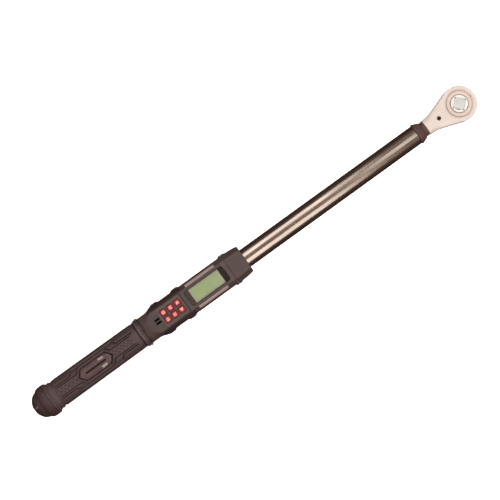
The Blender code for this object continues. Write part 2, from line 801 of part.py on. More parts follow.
def make_rear_cover():
    """The lower shell, with a counterbored hole for each screw."""
    cover = make_cover_shell("rear_cover", False)
    for x, y in boss_ends():
        cut(cover, post("shank_hole", HOUSING_SCREW_SHANK + GAP, -0.03, 0.005, x, y, sides=12))
        cut(cover, post("head_hole", HOUSING_SCREW_HEAD, -0.03, -0.0112, x, y, sides=14))
    return finish(cover, "black_plastic")


def make_housing_screws():
    """Four pan-head screws, driven from below."""
    names = ("front_left", "front_right", "rear_left", "rear_right")
    places = [(x, side * SCREW_Y) for x in reversed(SCREWS_X) for side in (1, -1)]
    for name, (x, y) in zip(names, places):
        profile = [
            (-0.0131, 0),
            (-0.0131, 0.0015),
            (-0.0127, 0.0021),
            (-0.0115, 0.0021),
            (-0.0115, 0.0012),
            (0.0066, 0.0012),
            (0.0072, 0.0006),
            (0.0072, 0),
        ]
        screw = turned(f"housing_screw_{name}", profile, (x, y, AXIS_Z), along="Z", sides=12)
        cross = block("cross", (0.0024, 0.0006, 0.0012), (x, y, AXIS_Z - 0.0131))
        other = block("cross", (0.0006, 0.0024, 0.0012), (x, y, AXIS_Z - 0.0131))
        finish(cut(screw, join(cross, other)), "dark_steel")


def make_housing_nose():
    """Solid nose block between the two shells and the bare tube, with a rib on each side."""
    wide = [0.0016, 0.0020, 0.0030, 0.0030]
    fillets = wide + wide[::-1]
    rings = [
        section(NOSE_REAR, body_corners(0.0133, 0.0215, 0.0209, 0.0120, -0.0075, 0.0115, -0.0195), fillets),
        section(-0.3360, body_corners(0.0133, 0.0215, 0.0211, 0.0120, -0.0075, 0.0115, -0.0195), fillets),
        section(-0.3338, body_corners(0.0133, 0.0215, 0.0196, 0.0125, -0.0085, 0.0115, -0.0195), fillets),
        section(-0.3270, body_corners(0.0131, 0.0212, 0.0194, 0.0124, -0.0084, 0.0113, -0.0192), fillets),
        section(-0.3185, body_corners(0.0125, 0.0204, 0.0182, 0.0119, -0.0081, 0.0107, -0.0184), fillets),
        section(NOSE_FRONT, body_corners(0.0119, 0.0196, 0.0174, 0.0114, -0.0077, 0.0101, -0.0176), fillets),
    ]
    nose = loft("housing_nose", rings)
    cut(nose, rod("bore", TUBE_RADIUS + GAP, -0.36, -0.30, sides=32))
    return finish(nose, "black_plastic")


def mirrored(outline, side):
    return [(x, side * y) for x, y in outline]


def skin_patch(name, outline, side, h_range, inner, outer):
    """A patch of the housing's skin between two depths, bounded by an outline from above."""
    patch = housing_solid(name, inner, SHELL_REAR, NOSE_REAR - GAP)
    cut(patch, housing_solid("core", outer, SHELL_REAR - 0.002, NOSE_REAR + 0.002))
    return combine(patch, "INTERSECT", prism("area", mirrored(outline, side), *h_range))


def make_side_bumper(name, side):
    """Rubber skin over the housing's shoulder and side, with three raised ribs."""
    outline = [
        (BUMPER_REAR, FACE_HALF + GAP),
        (WINDOW_X[0] - 0.0006, FACE_HALF + GAP),
        (WINDOW_X[0] - 0.0006, SIDE_Y),
        (NOSE_REAR - 2 * GAP, SIDE_Y),
        (NOSE_REAR - 2 * GAP, 0.030),
        (BUMPER_REAR + 0.0150, 0.030),
    ]
    h_range = (LOWER_H + 0.0020, FACE_H - 0.0002)
    skin = skin_patch(name, outline, side, h_range, -BUMPER_THICKNESS, -GAP)
    for foot_rear, top_rear, top_front, foot_front in RIBS_X:
        rib = [
            (foot_rear, BUMPER_Y - 0.0006),
            (top_rear, RIB_Y),
            (top_front, RIB_Y),
            (foot_front, BUMPER_Y - 0.0006),
        ]
        join(skin, prism("rib", mirrored(rib, side), LOWER_H + 0.0026, SHOULDER_H - 0.0014))
    return finish(skin, "black_rubber")


# ---------------------------------------------------------------- electronics


def make_display():
    """Window, bezel, liquid crystal panel and backlight, from the top down."""
    finish(prism("display_window", window_outline(-GAP), 0.0196, 0.0210), "clear_plastic")
    bezel = flat_box("lcd_bezel", grown(WINDOW_X, 0.0015), 0.0117, (0.0186, 0.0190))
    cut(bezel, flat_box("opening", (-0.3948, -0.3520), 0.0095, (0.018, 0.020)))
    finish(bezel, "black_plastic")
    finish(flat_box("lcd_panel", LCD_X, LCD_HALF, (0.0166, 0.0182)), "lcd_green")
    finish(flat_box("backlight_plate", LCD_X, LCD_HALF, (0.0156, 0.0163)), "white_plastic")


def bar_outline(margin):
    """Outline of a light bar seen from above, grown by margin."""
    (start, end), (low, high) = grown(BAR_X, margin), grown(BAR_Y, margin)
    return [(start, low), (end, low), (end, high), (start, high)]


def make_light_bars():
    """A clear bar in each shoulder with its lamp board behind it."""
    for name, side in (("left", 1), ("right", -1)):
        area = bar_outline(0)
        bar = skin_patch(f"light_bar_{name}", area, side, BAR_HEIGHTS, 0.0002, 0.0002 + BAR_THICKNESS)
        finish(bar, "smoked_clear")
        board = shoulder_plate(f"lamp_board_{name}", side, 0.0044, 0.0008, 0.0026, grown(BAR_X, -0.0006))
        finish(board, "board_green")


def make_boards():
    board = flat_box("main_board", BOARD_X, BOARD_HALF, BOARD_H)
    finish(board, "board_green")
    buzzer = post("buzzer", 0.0040, BOARD_H[1] + GAP, 0.0180, BUZZER_X, sides=28)
    port = post("sound_hole", 0.0008, 0.0172, 0.02, BUZZER_X, sides=12)
    finish(cut(buzzer, port), "cable_black")
    mat = flat_box("keypad_mat", (-0.4390, -0.4086), 0.0108, (BOARD_H[1] + 0.0002, 0.0158))
    finish(mat, "key_red")


def make_keypad_plate():
    """Face plate around the six keys."""
    plate = flat_box("keypad_plate", KEYPAD_X, KEYPAD_HALF, (FACE_H - 0.0006, FACE_H + 0.0001))
    for x in KEY_COLUMNS_X:
        for side in (-1, 1):
            centre = (x, side * KEY_Y, AXIS_Z + FACE_H)
            cut(plate, block("hole", (PLATE_HOLE, PLATE_HOLE, 0.01), centre))
    return finish(plate, "black_plastic")


def make_keys():
    """Six sprung keys, each held in by a flange under the cover."""
    for side, names in zip((1, -1), KEY_NAMES):
        for x, name in zip(KEY_COLUMNS_X, names):
            y = side * KEY_Y
            key = block(name, (KEY_SIDE, KEY_SIDE, 0.0050), (x, y, AXIS_Z + 0.0204), edge=0.0008)
            flange = block("flange", (0.0090, 0.0090, 0.0014), (x, y, AXIS_Z + 0.0179))
            finish(join(key, flange), "key_red")


# ---------------------------------------------------------------- handle


def make_handle_ring():
    """Ring with two ridges between the housing and the grip."""
    length = RING_X[1] - RING_X[0]
    profile = [
        (0, TUBE_RADIUS + GAP),
        (0, 0.0173),
        (0.0010, 0.0183),
        (0.0022, 0.0187),
        (0.0036, 0.0187),
        (0.0044, 0.0182),
        (0.0052, 0.0187),
        (0.0066, 0.0193),
        (0.0078, 0.0193),
        (0.0090, 0.0184),
        (length, 0.0175),
        (length, TUBE_RADIUS + GAP),
    ]
    made = turned("handle_ring", profile, (RING_X[0], 0, AXIS_Z))
    return finish(made, "black_plastic")


def lozenge(margin):
    """Outline of the badge, a long hexagon, grown by margin."""
    half_length = BADGE_LENGTH / 2 + margin
    half_width = BADGE_HALF + margin
    shoulder = half_length - BADGE_POINT
    right = [(shoulder, -half_width), (half_length, 0), (shoulder, half_width)]
    left = [(-x, -y) for x, y in right]
    return right + left


def curved_panel(name, margin, inner, outer):
    """A lozenge bent around the tool's axis, between two radii."""
    panel = prism(name, lozenge(margin), 0.010, 0.030, (BADGE_X, 0))
    reach = 0.03
    band = ring("band", inner, outer, BADGE_X - reach, BADGE_X + reach, sides=40)
    return combine(panel, "INTERSECT", band)


def make_grip():
    """Grip moulding on the tube, with a pocket for the badge."""
    length = GRIP_X[1] - GRIP_X[0]
    profile = [
        (0, TUBE_RADIUS + GAP),
        (0, 0.0169),
        (0.0010, GRIP_RADIUS),
        (length - 0.0030, 0.0172),
        (length - 0.0014, 0.0168),
        (length, 0.0168),
        (length, TUBE_RADIUS + GAP),
    ]
    grip = turned("grip", profile, (GRIP_X[0], 0, AXIS_Z), sides=40)
    cut(grip, curved_panel("pocket", GAP, BADGE_FLOOR - GAP, 0.022))
    finish(grip, "grip_rubber")
    finish(curved_panel("grip_badge", 0, BADGE_FLOOR, GRIP_RADIUS + 0.0002), "badge_plastic")


def make_end_ferrule():
    """Threaded ferrule that ends the grip and takes the battery cap."""
    start = FERRULE_X[0]
    length = FERRULE_X[1] - start
    step = TUBE_REAR - GAP - start
    profile = [
        (0, PLUG_RADIUS + GAP),
        (0, BULGE_RADIUS),
        (0.0020, 0.0203),
        (0.0032, 0.0196),
        (0.0044, 0.0186),
        (0.0056, 0.0179),
        (0.0076, 0.0179),
        (0.0092, 0.0177),
        (0.0108, 0.0171),
        (length - 0.0018, 0.0166),
        (length, 0.0166),
        (length, TUBE_RADIUS + GAP),
        (step, TUBE_RADIUS + GAP),
        (step, PLUG_RADIUS + GAP),
    ]
    made = turned("end_ferrule", profile, (start, 0, AXIS_Z))
    return finish(made, "black_plastic")


def make_end_cap():
    """Screwed battery cap: domed end with a coin slot, bulged rim and hollow plug."""
    length = FERRULE_X[0] - GAP - CAP_END
    plug_end = PLUG_END - CAP_END
    groove = length + 0.0020
    profile = [
        (0, 0),
        (0, 0.0045),
        (0.0009, 0.0072),
        (0.0024, 0.0100),
        (0.0040, 0.0124),
        (0.0054, 0.0142),
        (0.0078, 0.0158),
        (0.0102, 0.0170),
        (0.0122, 0.0178),
        (0.0134, 0.0188),
        (0.0148, 0.0197),
        (0.0172, 0.0203),
        (length, BULGE_RADIUS),
        (length, PLUG_RADIUS),
        (groove, PLUG_RADIUS),
        (groove, 0.0084),
        (groove + 0.0018, 0.0084),
        (groove + 0.0018, PLUG_RADIUS),
        (plug_end - 0.0006, PLUG_RADIUS),
        (plug_end, PLUG_RADIUS - 0.0006),
        (plug_end, PLUG_BORE),
        (0.0176, PLUG_BORE),
        (0.0176, 0),
    ]
    cap = turned("end_cap", profile, (CAP_END, 0, AXIS_Z))
    slot = block("coin_slot", (0.0096, 0.0024, 0.0400), (CAP_END, 0, AXIS_Z))
    finish(cut(cap, slot), "black_rubber")

    seal_x = CAP_END + groove + 0.0009
    seal = [
        (0.00072 * math.cos(a), 0.00920 + 0.00072 * math.sin(a))
        for a in (2 * math.pi * i / 6 for i in range(6))
    ]
    finish(turned("cap_seal", seal, (seal_x, 0, AXIS_Z), sides=28), "black_rubber")

    disc_x = CAP_END + 0.0176 + GAP
    disc = rod("cap_contact", 0.0064, disc_x, disc_x + 0.0008)
    spring_start = (disc_x + 0.0006, 0, AXIS_Z)
    spring_length = BATTERY_FIRST_X - GAP - 0.0004 - spring_start[0]
    spring = coil("spring", spring_start, (1, 0, 0), spring_length, 0.0052, 0.0008, 3, 0.0030)
    finish(join(disc, spring), "polished_steel")


def make_batteries():
    """Three cells in line in a liner, and the spring at their inner end."""
    length = SLEEVE_X[1] - SLEEVE_X[0]
    profile = [
        (0, SLEEVE_BORE),
        (0, SLEEVE_RADIUS),
        (length, SLEEVE_RADIUS),
        (length, 0.0015),
        (length - 0.0025, 0.0015),
        (length - 0.0025, SLEEVE_BORE),
    ]
    sleeve = turned("battery_sleeve", profile, (SLEEVE_X[0], 0, AXIS_Z), sides=28)
    finish(sleeve, "cable_black")
    body = BATTERY_LENGTH - 0.0010
    for i in range(3):
        cell = [
            (0, 0),
            (0, BATTERY_RADIUS - 0.0005),
            (0.0005, BATTERY_RADIUS),
            (body - 0.0005, BATTERY_RADIUS),
            (body, BATTERY_RADIUS - 0.0007),
            (body, 0.0027),
            (BATTERY_LENGTH, 0.0026),
            (BATTERY_LENGTH, 0),
        ]
        start = BATTERY_FIRST_X + i * (BATTERY_LENGTH + GAP)
        finish(turned(f"battery_{i + 1}", cell, (start, 0, AXIS_Z), sides=20), "battery_case")
    last = BATTERY_FIRST_X + 3 * BATTERY_LENGTH + 2 * GAP
    start = (last + 0.0006, 0, AXIS_Z)
    room = SLEEVE_X[1] - 0.0025 - GAP - 0.0004 - start[0]
    spring = coil("inner_contact_spring", start, (1, 0, 0), room, 0.0036, 0.0008, 3, 0.0056)
    finish(spring, "polished_steel")


def make_wrench():
    make_ratchet_head()
    make_ratchet_wheel()
    make_square_drive()
    make_pawl()
    make_head_fittings()
    make_measuring_beam()
    make_dowels()
    make_tube()
    make_tube_collar()
    make_gauge_lead()
    make_front_cover()
    make_rear_cover()
    make_housing_screws()
    make_housing_nose()
    make_side_bumper("side_bumper_left", 1)
    make_side_bumper("side_bumper_right", -1)
    make_display()
    make_light_bars()
    make_boards()
    make_keypad_plate()
    make_keys()
    make_handle_ring()
    make_grip()
    make_end_ferrule()
    make_end_cap()
    make_batteries()


COLLECTION = start_scene()
PAINT = make_materials()
make_wrench()
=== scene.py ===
import json
import math

import bmesh
import bpy
import numpy as np
from mathutils import Matrix, Vector


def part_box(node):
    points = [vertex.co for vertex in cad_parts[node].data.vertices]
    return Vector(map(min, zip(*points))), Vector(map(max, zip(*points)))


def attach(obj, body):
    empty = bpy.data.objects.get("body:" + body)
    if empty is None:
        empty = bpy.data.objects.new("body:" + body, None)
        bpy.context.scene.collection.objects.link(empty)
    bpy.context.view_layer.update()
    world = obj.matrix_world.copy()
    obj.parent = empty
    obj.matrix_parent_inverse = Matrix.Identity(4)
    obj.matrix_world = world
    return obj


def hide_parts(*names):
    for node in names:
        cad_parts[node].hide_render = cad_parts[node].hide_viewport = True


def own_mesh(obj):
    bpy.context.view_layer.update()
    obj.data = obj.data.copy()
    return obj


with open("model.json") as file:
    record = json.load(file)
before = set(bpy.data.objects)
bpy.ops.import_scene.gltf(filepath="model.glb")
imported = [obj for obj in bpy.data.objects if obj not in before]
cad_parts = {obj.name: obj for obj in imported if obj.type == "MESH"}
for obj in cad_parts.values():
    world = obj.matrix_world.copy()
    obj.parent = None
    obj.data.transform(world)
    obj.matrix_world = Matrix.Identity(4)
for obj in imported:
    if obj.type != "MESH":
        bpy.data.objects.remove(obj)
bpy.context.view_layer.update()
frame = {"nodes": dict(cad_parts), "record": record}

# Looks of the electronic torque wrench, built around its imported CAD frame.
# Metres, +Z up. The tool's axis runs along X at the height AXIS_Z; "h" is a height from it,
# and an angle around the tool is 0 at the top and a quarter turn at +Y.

GAP = 0.0003
TURN = 2 * math.pi


def ends(node, axis):
    """Lowest and highest coordinate of a CAD node along an axis (0, 1 or 2)."""
    low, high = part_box(node)
    return low[axis], high[axis]


def middle(node, axis):
    return sum(ends(node, axis)) / 2


TUBE_X = ends("tube", 0)
AXIS_Z = middle("tube", 2)
TUBE_RADIUS = (ends("tube", 2)[1] - ends("tube", 2)[0]) / 2
HEAD_X = ends("ratchet_head", 0)
HEAD_Z = ends("ratchet_head", 2)
HEAD_HALF = (HEAD_Z[1] - HEAD_Z[0]) / 2
HEAD_RADIUS = HEAD_X[1]
NECK_RADIUS = 0.0097
NECK_END = -0.0482
SET_SCREW_X = middle("pawl_set_screw", 0)
COVER_RADIUS = ends("wheel_cover", 0)[1]
COVER_HOLE = 0.0112
BOSS_RADIUS = 0.0106
DRIVE_SIDE = 0.0127
BALL_SIDE = math.radians(225)
COLLAR_X = ends("tube_collar", 0)
SHELL_X = ends("front_cover", 0)
NOSE_X = ends("housing_nose", 0)
RING_X = ends("handle_ring", 0)
GRIP_X = ends("grip", 0)
BADGE_X = ends("grip_badge", 0)
BADGE_MIDDLE = sum(BADGE_X) / 2
FERRULE_X = ends("end_ferrule", 0)
CAP_X = ends("end_cap", 0)
CAP_JOINT = FERRULE_X[0] + 0.0022
WINDOW_X = ends("display_window", 0)
WINDOW_HALF = ends("display_window", 1)[1]
LCD_X = ends("lcd_panel", 0)
BAR_X = ends("light_bar_left", 0)
BAR_Y = ends("light_bar_left", 1)
KEYPAD_X = ends("keypad_plate", 0)
KEYPAD_HALF = ends("keypad_plate", 1)[1]
KEY_TOP = ends("key_power", 2)[1]
FACE_H = 0.0215
CAVITY_FLOOR = 0.004
CELL_LENGTH = 0.0505
RIB_HEIGHT = 0.0017
THREAD_PITCH = 0.0012
USUAL_REACH = 0.02  # keeps the powers that blend surfaces near 1

# ---------------------------------------------------------------- materials


class Paint:
    """A procedural material on one Principled shader, with its nodes added in steps."""

    def __init__(self, name, roughness=0.5, metallic=0.0, **sockets):
        self.material = bpy.data.materials.new(name)
        self.material.use_nodes = True
        self.tree = self.material.node_tree
        self.shader = self.tree.nodes["Principled BSDF"]
        self.shader.inputs["Roughness"].default_value = roughness
        self.shader.inputs["Metallic"].default_value = metallic
        for socket, value in sockets.items():
            self.shader.inputs[socket.replace("_", " ")].default_value = value
        self.place = self.node("ShaderNodeTexCoord").outputs["Object"]

    def node(self, kind, **values):
        made = self.tree.nodes.new(kind)
        for name, value in values.items():
            setattr(made, name, value)
        return made

    def link(self, source, target):
        self.tree.links.new(source, target)

    def texture(self, kind, place=None, inputs=(), **values):
        """A node that reads a place, with its named inputs set."""
        made = self.node(kind, **values)
        for name, value in inputs:
            made.inputs[name].default_value = value
        self.link(place or self.place, made.inputs["Vector"])
        return made

    def parts(self):
        """The place on the object as separate X, Y and Z."""
        made = self.node("ShaderNodeSeparateXYZ")
        self.link(self.place, made.inputs[0])
        return made.outputs

    def calculate(self, operation, *values):
        """One step of arithmetic on values, each a socket or a number."""
        made = self.node("ShaderNodeMath", operation=operation)
        for value, socket in zip(values, made.inputs):
            if isinstance(value, bpy.types.NodeSocket):
                self.link(value, socket)
            else:
                socket.default_value = value
        return made.outputs[0]

    def stretched(self, x, y, z):
        """Coordinates scaled along each axis, for grain that has a direction."""
        return self.texture("ShaderNodeMapping", inputs=[("Scale", (x, y, z))]).outputs["Vector"]

    def noise(self, scale, detail=3.0, place=None, roughness=0.5):
        inputs = [("Scale", scale), ("Detail", detail), ("Roughness", roughness)]
        return self.texture("ShaderNodeTexNoise", place, inputs).outputs["Fac"]

    def cells(self, scale):
        """Distance to the nearest of many scattered points."""
        return self.texture("ShaderNodeTexVoronoi", inputs=[("Scale", scale)]).outputs["Distance"]

    def wave(self, scale, distortion=0.0, **values):
        inputs = [("Scale", scale), ("Distortion", distortion), ("Detail", 2.0)]
        return self.texture("ShaderNodeTexWave", inputs=inputs, **values).outputs["Fac"]

    def ranged(self, source, low, high, start=0.0, end=1.0):
        made = self.node("ShaderNodeMapRange")
        for name, value in zip(("From Min", "From Max", "To Min", "To Max"), (start, end, low, high)):
            made.inputs[name].default_value = value
        self.link(source, made.inputs["Value"])
        return made.outputs["Result"]

    def ramp(self, source, *stops):
        """Colours at positions along a value."""
        made = self.node("ShaderNodeValToRGB")
        elements = made.color_ramp.elements
        while len(elements) < len(stops):
            elements.new(0.5)
        for element, (position, colour) in zip(elements, stops):
            element.position = position
            element.color = (*colour, 1.0)
        self.link(source, made.inputs["Fac"])
        return made.outputs["Color"]

    def blend(self, share, one, two, kind="MIX"):
        """Mixes two colours by a share; either may be a plain colour."""
        made = self.node("ShaderNodeMix", data_type="RGBA", blend_type=kind)
        for value, socket in ((share, made.inputs[0]), (one, made.inputs[6]), (two, made.inputs[7])):
            if isinstance(value, bpy.types.NodeSocket):
                self.link(value, socket)
            elif isinstance(value, tuple):
                socket.default_value = (*value, 1.0)
            else:
                socket.default_value = value
        return made.outputs[2]

    def times(self, one, two):
        return self.blend(1.0, one, two, "MULTIPLY")

    def wear_and_crease_shade(self, source, colour, amount=0.5, crease_shade=0.25):
        """Lightens a colour where the surface is sharply convex, as rubbed wear, and darkens it in creases
        as painted shade.
        """
        bent = self.node("ShaderNodeNewGeometry").outputs["Pointiness"]
        share = self.ranged(bent, 0.0, amount, 0.52, 0.62)
        # Painted shade: the colour is darkened in creases
        crease = self.ranged(bent, crease_shade, 1.0, 0.44, 0.497)
        return self.times(self.blend(share, source, colour), crease)

    def finish(self, colour, gloss, low, high, height, depth):
        """Puts a colour, a roughness between low and high and a relief on the shader."""
        self.link(colour, self.shader.inputs["Base Color"])
        if gloss:
            self.link(self.ranged(gloss, low, high, 0.3, 0.7), self.shader.inputs["Roughness"])
        made = self.node("ShaderNodeBump")
        made.inputs["Strength"].default_value = 1.0
        made.inputs["Distance"].default_value = depth
        self.link(height, made.inputs["Height"])
        self.link(made.outputs["Normal"], self.shader.inputs["Normal"])
        return self.material


def metal(name, dark, light, rough, metallic=1.0):
    """Metal with soft blotches, varied gloss, a fine grain, rubbed edges and painted shade in creases."""
    p = Paint(name, metallic=metallic)
    base = p.ramp(p.noise(60, 4.0), (0.25, dark), (0.75, light))
    return p.finish(p.wear_and_crease_shade(base, light), p.noise(180, 5.0), *rough, p.noise(2500, 2.0), 0.00002)


def plastic(name, dark, light, rough, grain=1800, depth=0.00006, wear=0.35, shade=None, **sockets):
    """Moulded plastic or rubber: spark-eroded grain, slight blotches, rubbed edges, painted shade in
    creases, and any painted light or shade that is given as shade.
    """
    p = Paint(name, **sockets)
    grainy = p.noise(grain, 3.0, roughness=0.65)
    base = p.ramp(p.noise(45, 4.0), (0.3, dark), (0.7, light))
    base = p.times(base, p.ranged(grainy, 0.82, 1.14, 0.3, 0.7))
    if shade:
        base = p.times(base, shade(p))
    rubbed = tuple(min(1.0, 1.7 * c + 0.01) for c in light)
    return p.finish(p.wear_and_crease_shade(base, rubbed, wear), p.noise(180, 5.0), *rough, grainy, depth)


def ring_groove_painted_shade(p):
    """Painted shade in the handle ring's grooves, and a touch of painted light on its tall ridge, by their
    places along it.
    """
    length = RING_X[1] - RING_X[0]
    along = p.ranged(p.parts()["X"], 0.0, 1.0, *RING_X)
    # Distance from the ring's rear end, and how much of the colour is kept there: low values are painted
    # shade
    tones = (
        (0.0005, 0.5), (0.0010, 0.08), (0.0017, 0.08), (0.0023, 1.0), (0.0051, 1.0), (0.0054, 0.5),
        (0.0058, 0.5), (0.0062, 1.05), (0.0075, 1.0), (0.0079, 0.12), (0.0087, 0.12),
        (0.0091, 0.85),
    )
    return p.ramp(along, *((at / length, (tone, tone, tone)) for at, tone in tones))


def grip_groove_painted_shade(p):
    """Painted shade at the bottom of the grip's deep grooves, by distance from the tool's axis."""
    flat = p.node("ShaderNodeVectorMath", operation="MULTIPLY_ADD")
    p.link(p.place, flat.inputs[0])
    flat.inputs[1].default_value = (0, 1, 1)
    flat.inputs[2].default_value = (0, 0, -AXIS_Z)
    radius = p.node("ShaderNodeVectorMath", operation="LENGTH")
    p.link(flat.outputs[0], radius.inputs[0])
    return p.ranged(radius.outputs["Value"], 0.30, 1.0, 0.0155, 0.0163)


def shell_painted_light(p):
    """Painted light: paler shoulders low at the rear of the front cover, where the sloping wedge would
    otherwise render darker.
    """
    parts = p.parts()
    low = p.ranged(parts["Z"], 1.0, 0.0, AXIS_Z + 0.0200, AXIS_Z + 0.0213)
    rear = p.ranged(parts["X"], 1.0, 0.0, SHELL_X[0] + 0.0120, SHELL_X[0] + 0.0200)
    return p.ranged(p.times(low, rear), 1.0, 1.5)


# Name, dark and light tone, least and most roughness, and what differs from the usual
METALS = (
    ("satin_steel", (0.51, 0.455, 0.415), (0.59, 0.535, 0.495), (0.38, 0.48), 0.1),
    ("polished_steel", (0.80, 0.79, 0.77), (0.90, 0.89, 0.88), (0.16, 0.28)),
    ("dark_steel", (0.055, 0.046, 0.044), (0.11, 0.10, 0.095), (0.35, 0.50)),
    ("snap_steel", (0.50, 0.42, 0.38), (0.60, 0.52, 0.47), (0.35, 0.50), 0.3),
)
MACHINED = (
    ("machined_steel", (0.56, 0.48, 0.43), (0.64, 0.56, 0.51), 0.4),
    ("boss_steel", (0.80, 0.79, 0.76), (0.87, 0.86, 0.83), 0.6),
    ("square_steel", (0.56, 0.61, 0.62), (0.64, 0.69, 0.70), 0.6),
)
SHELL_TONES = (0.050, 0.035, 0.034), (0.059, 0.042, 0.040), (0.40, 0.52)
GRIP_LOOKS = {"grain": 1300, "depth": 0.00008, "shade": grip_groove_painted_shade}
RING_LOOKS = {"depth": 0.00002, "shade": ring_groove_painted_shade, "Coat_Weight": 0.5}
PRINTED = {"depth": 0.00002, "wear": 0.0}
RUBBER_LOOKS = {"grain": 1400, "depth": 0.00008}
# Looks of the painted-shade sheet under the slits: no rubbed edges and no gloss
SLIT_SHADE_LOOKS = {"wear": 0.0, "Specular_IOR_Level": 0.0}
PLASTICS = (
    ("shell_plastic", *SHELL_TONES, {"shade": shell_painted_light}),
    ("black_plastic", *SHELL_TONES, {}),
    ("black_rubber", (0.019, 0.0095, 0.011), (0.027, 0.0145, 0.016), (0.60, 0.75), RUBBER_LOOKS),
    ("cap_rubber", (0.038, 0.023, 0.023), (0.050, 0.033, 0.032), (0.34, 0.44), {"grain": 1400}),
    ("ferrule_plastic", (0.062, 0.044, 0.044), (0.074, 0.054, 0.052), (0.30, 0.40), {}),
    ("grip_rubber", (0.052, 0.034, 0.035), (0.062, 0.042, 0.042), (0.46, 0.58), GRIP_LOOKS),
    ("white_plastic", (0.74, 0.74, 0.70), (0.84, 0.84, 0.80), (0.35, 0.50), {}),
    ("ring_plastic", (0.082, 0.060, 0.062), (0.098, 0.073, 0.075), (0.22, 0.32), RING_LOOKS),
    ("cable_black", (0.010, 0.009, 0.009), (0.017, 0.015, 0.015), (0.45, 0.60), {}),
    # A near-black sheet without gloss, put under the buzzer's slits as painted shade
    ("slit_painted_shade", (0.003, 0.002, 0.002), (0.005, 0.003, 0.003), (0.80, 0.90), SLIT_SHADE_LOOKS),
    ("mark_grey", (0.17, 0.13, 0.125), (0.21, 0.17, 0.16), (0.45, 0.55), {"wear": 0.0}),
    ("collar_plastic", (0.060, 0.034, 0.033), (0.080, 0.048, 0.046), (0.28, 0.38), {"grain": 1600}),
    ("glyph_pale", (0.62, 0.27, 0.25), (0.74, 0.38, 0.35), (0.40, 0.52), PRINTED),
    ("line_grey", (0.078, 0.076, 0.060), (0.098, 0.096, 0.076), (0.45, 0.55), PRINTED),
)


def make_paints():
    """Every material of the tool by its name."""
    paints = {name: metal(name, *looks) for name, *looks in METALS}
    for name, dark, light, rough, changes in PLASTICS:
        paints[name] = plastic(name, dark, light, rough, **changes)
    for name, *looks in MACHINED:
        paints[name] = make_machined_paint(name, *looks)
    for name, make in SPECIAL.items():
        paints[name] = make()
    return paints


def make_key_paint():
    """Translucent-looking red silicone: bright on top and deep red down its sides, the deep red partly
    painted shade where the key sinks into its hole; rubbed in places.
    """
    p = Paint("key_red", Specular_IOR_Level=0.4)
    # Painted shade: the colour runs from deep red low on the key's sides to bright red on its top
    depth = p.ranged(p.parts()["Z"], 0.0, 1.0, KEY_TOP - 0.0012, KEY_TOP - 0.00002)
    stops = (0.0, (0.090, 0.010, 0.009)), (0.55, (0.23, 0.016, 0.017)), (1.0, (0.44, 0.045, 0.046))
    base = p.times(p.ramp(depth, *stops), p.ranged(p.noise(420, 4.0), 0.86, 1.12, 0.3, 0.7))
    base = p.wear_and_crease_shade(base, (0.60, 0.10, 0.09), 0.25)
    return p.finish(base, p.noise(300, 4.0), 0.32, 0.44, p.noise(2200, 3.0), 0.00003)


def make_bezel_paint():
    """Printed mask around the glass, in painted light and shade: near black at its front, where shade is
    painted, and dark grey-brown at its rear, where light is painted.
    """
    p = Paint("bezel_plastic", Specular_IOR_Level=0.2)
    along = p.ranged(p.parts()["X"], 0.0, 1.0, *WINDOW_X)
    # Painted light and shade along the bezel: lighter at its rear end, near black at its front end
    tone = p.ramp(along, (0.12, (0.040, 0.029, 0.027)), (0.90, (0.006, 0.003, 0.003)))
    base = p.times(tone, p.ranged(p.noise(900, 3.0), 0.85, 1.15, 0.3, 0.7))
    return p.finish(base, p.noise(200, 3.0), 0.45, 0.60, p.noise(2600, 3.0), 0.000008)


def make_badge_paint():
    """Glossy dark plate with a darker stripe along its middle and faint smears."""
    p = Paint("badge_plastic", Coat_Weight=1.0, Coat_IOR=2.0, Coat_Roughness=0.035)
    parts = p.parts()
    inside = p.ranged(p.calculate("ABSOLUTE", parts["Y"]), 1.0, 0.0, 0.0009, 0.0016)
    after = p.ranged(parts["X"], 0.0, 1.0, BADGE_X[0] + 0.0075, BADGE_X[0] + 0.0085)
    before = p.ranged(parts["X"], 1.0, 0.0, BADGE_X[1] - 0.0085, BADGE_X[1] - 0.0075)
    stripe = p.times(p.times(inside, after), before)
    p.link(p.ranged(stripe, 1.0, 0.15), p.shader.inputs["Coat Weight"])
    p.link(p.ranged(stripe, 0.5, 0.1), p.shader.inputs["Specular IOR Level"])
    smears = p.noise(110, 5.0)
    base = p.ramp(smears, (0.3, (0.056, 0.036, 0.041)), (0.7, (0.068, 0.046, 0.051)))
    # Rubbed edges, and a lighter painted shade in creases
    base = p.wear_and_crease_shade(p.blend(stripe, base, (0.014, 0.007, 0.007)), (0.12, 0.10, 0.10), 0.3, crease_shade=0.6)
    return p.finish(base, smears, 0.10, 0.20, p.noise(3000, 3.0), 0.000004)


def make_tube_paint():
    """Dark bright plating, faintly drawn lengthwise, with small handling marks."""
    p = Paint("plated_tube", metallic=1.0)
    streaks = p.noise(900, 4.0, p.stretched(0.02, 1.0, 1.0))
    marks = p.noise(700, 5.0, p.stretched(0.25, 1.0, 1.0), 0.7)
    base = p.ramp(p.noise(18, 4.0), (0.30, (0.46, 0.425, 0.395)), (0.72, (0.53, 0.490, 0.455)))
    base = p.times(base, p.ranged(streaks, 0.90, 1.08, 0.3, 0.7))
    base = p.blend(p.ranged(marks, 0.0, 0.35, 0.66, 0.74), base, (0.32, 0.29, 0.265))
    gloss = p.noise(150, 5.0, p.stretched(0.2, 1.0, 1.0))
    return p.finish(base, gloss, 0.17, 0.27, streaks, 0.000008)


def make_machined_paint(name, dark, light, metallic):
    """Face-milled steel with rings around the drive's axis."""
    p = Paint(name, metallic=metallic)
    rings = p.wave(0.5 / 0.0009 / math.pi, 0.6, wave_type="RINGS", rings_direction="Z")
    base = p.times(p.ramp(p.noise(120, 4.0), (0.25, dark), (0.75, light)), p.ranged(rings, 0.97, 1.02))
    return p.finish(base, p.noise(300, 4.0), 0.30, 0.42, rings, 0.000003)


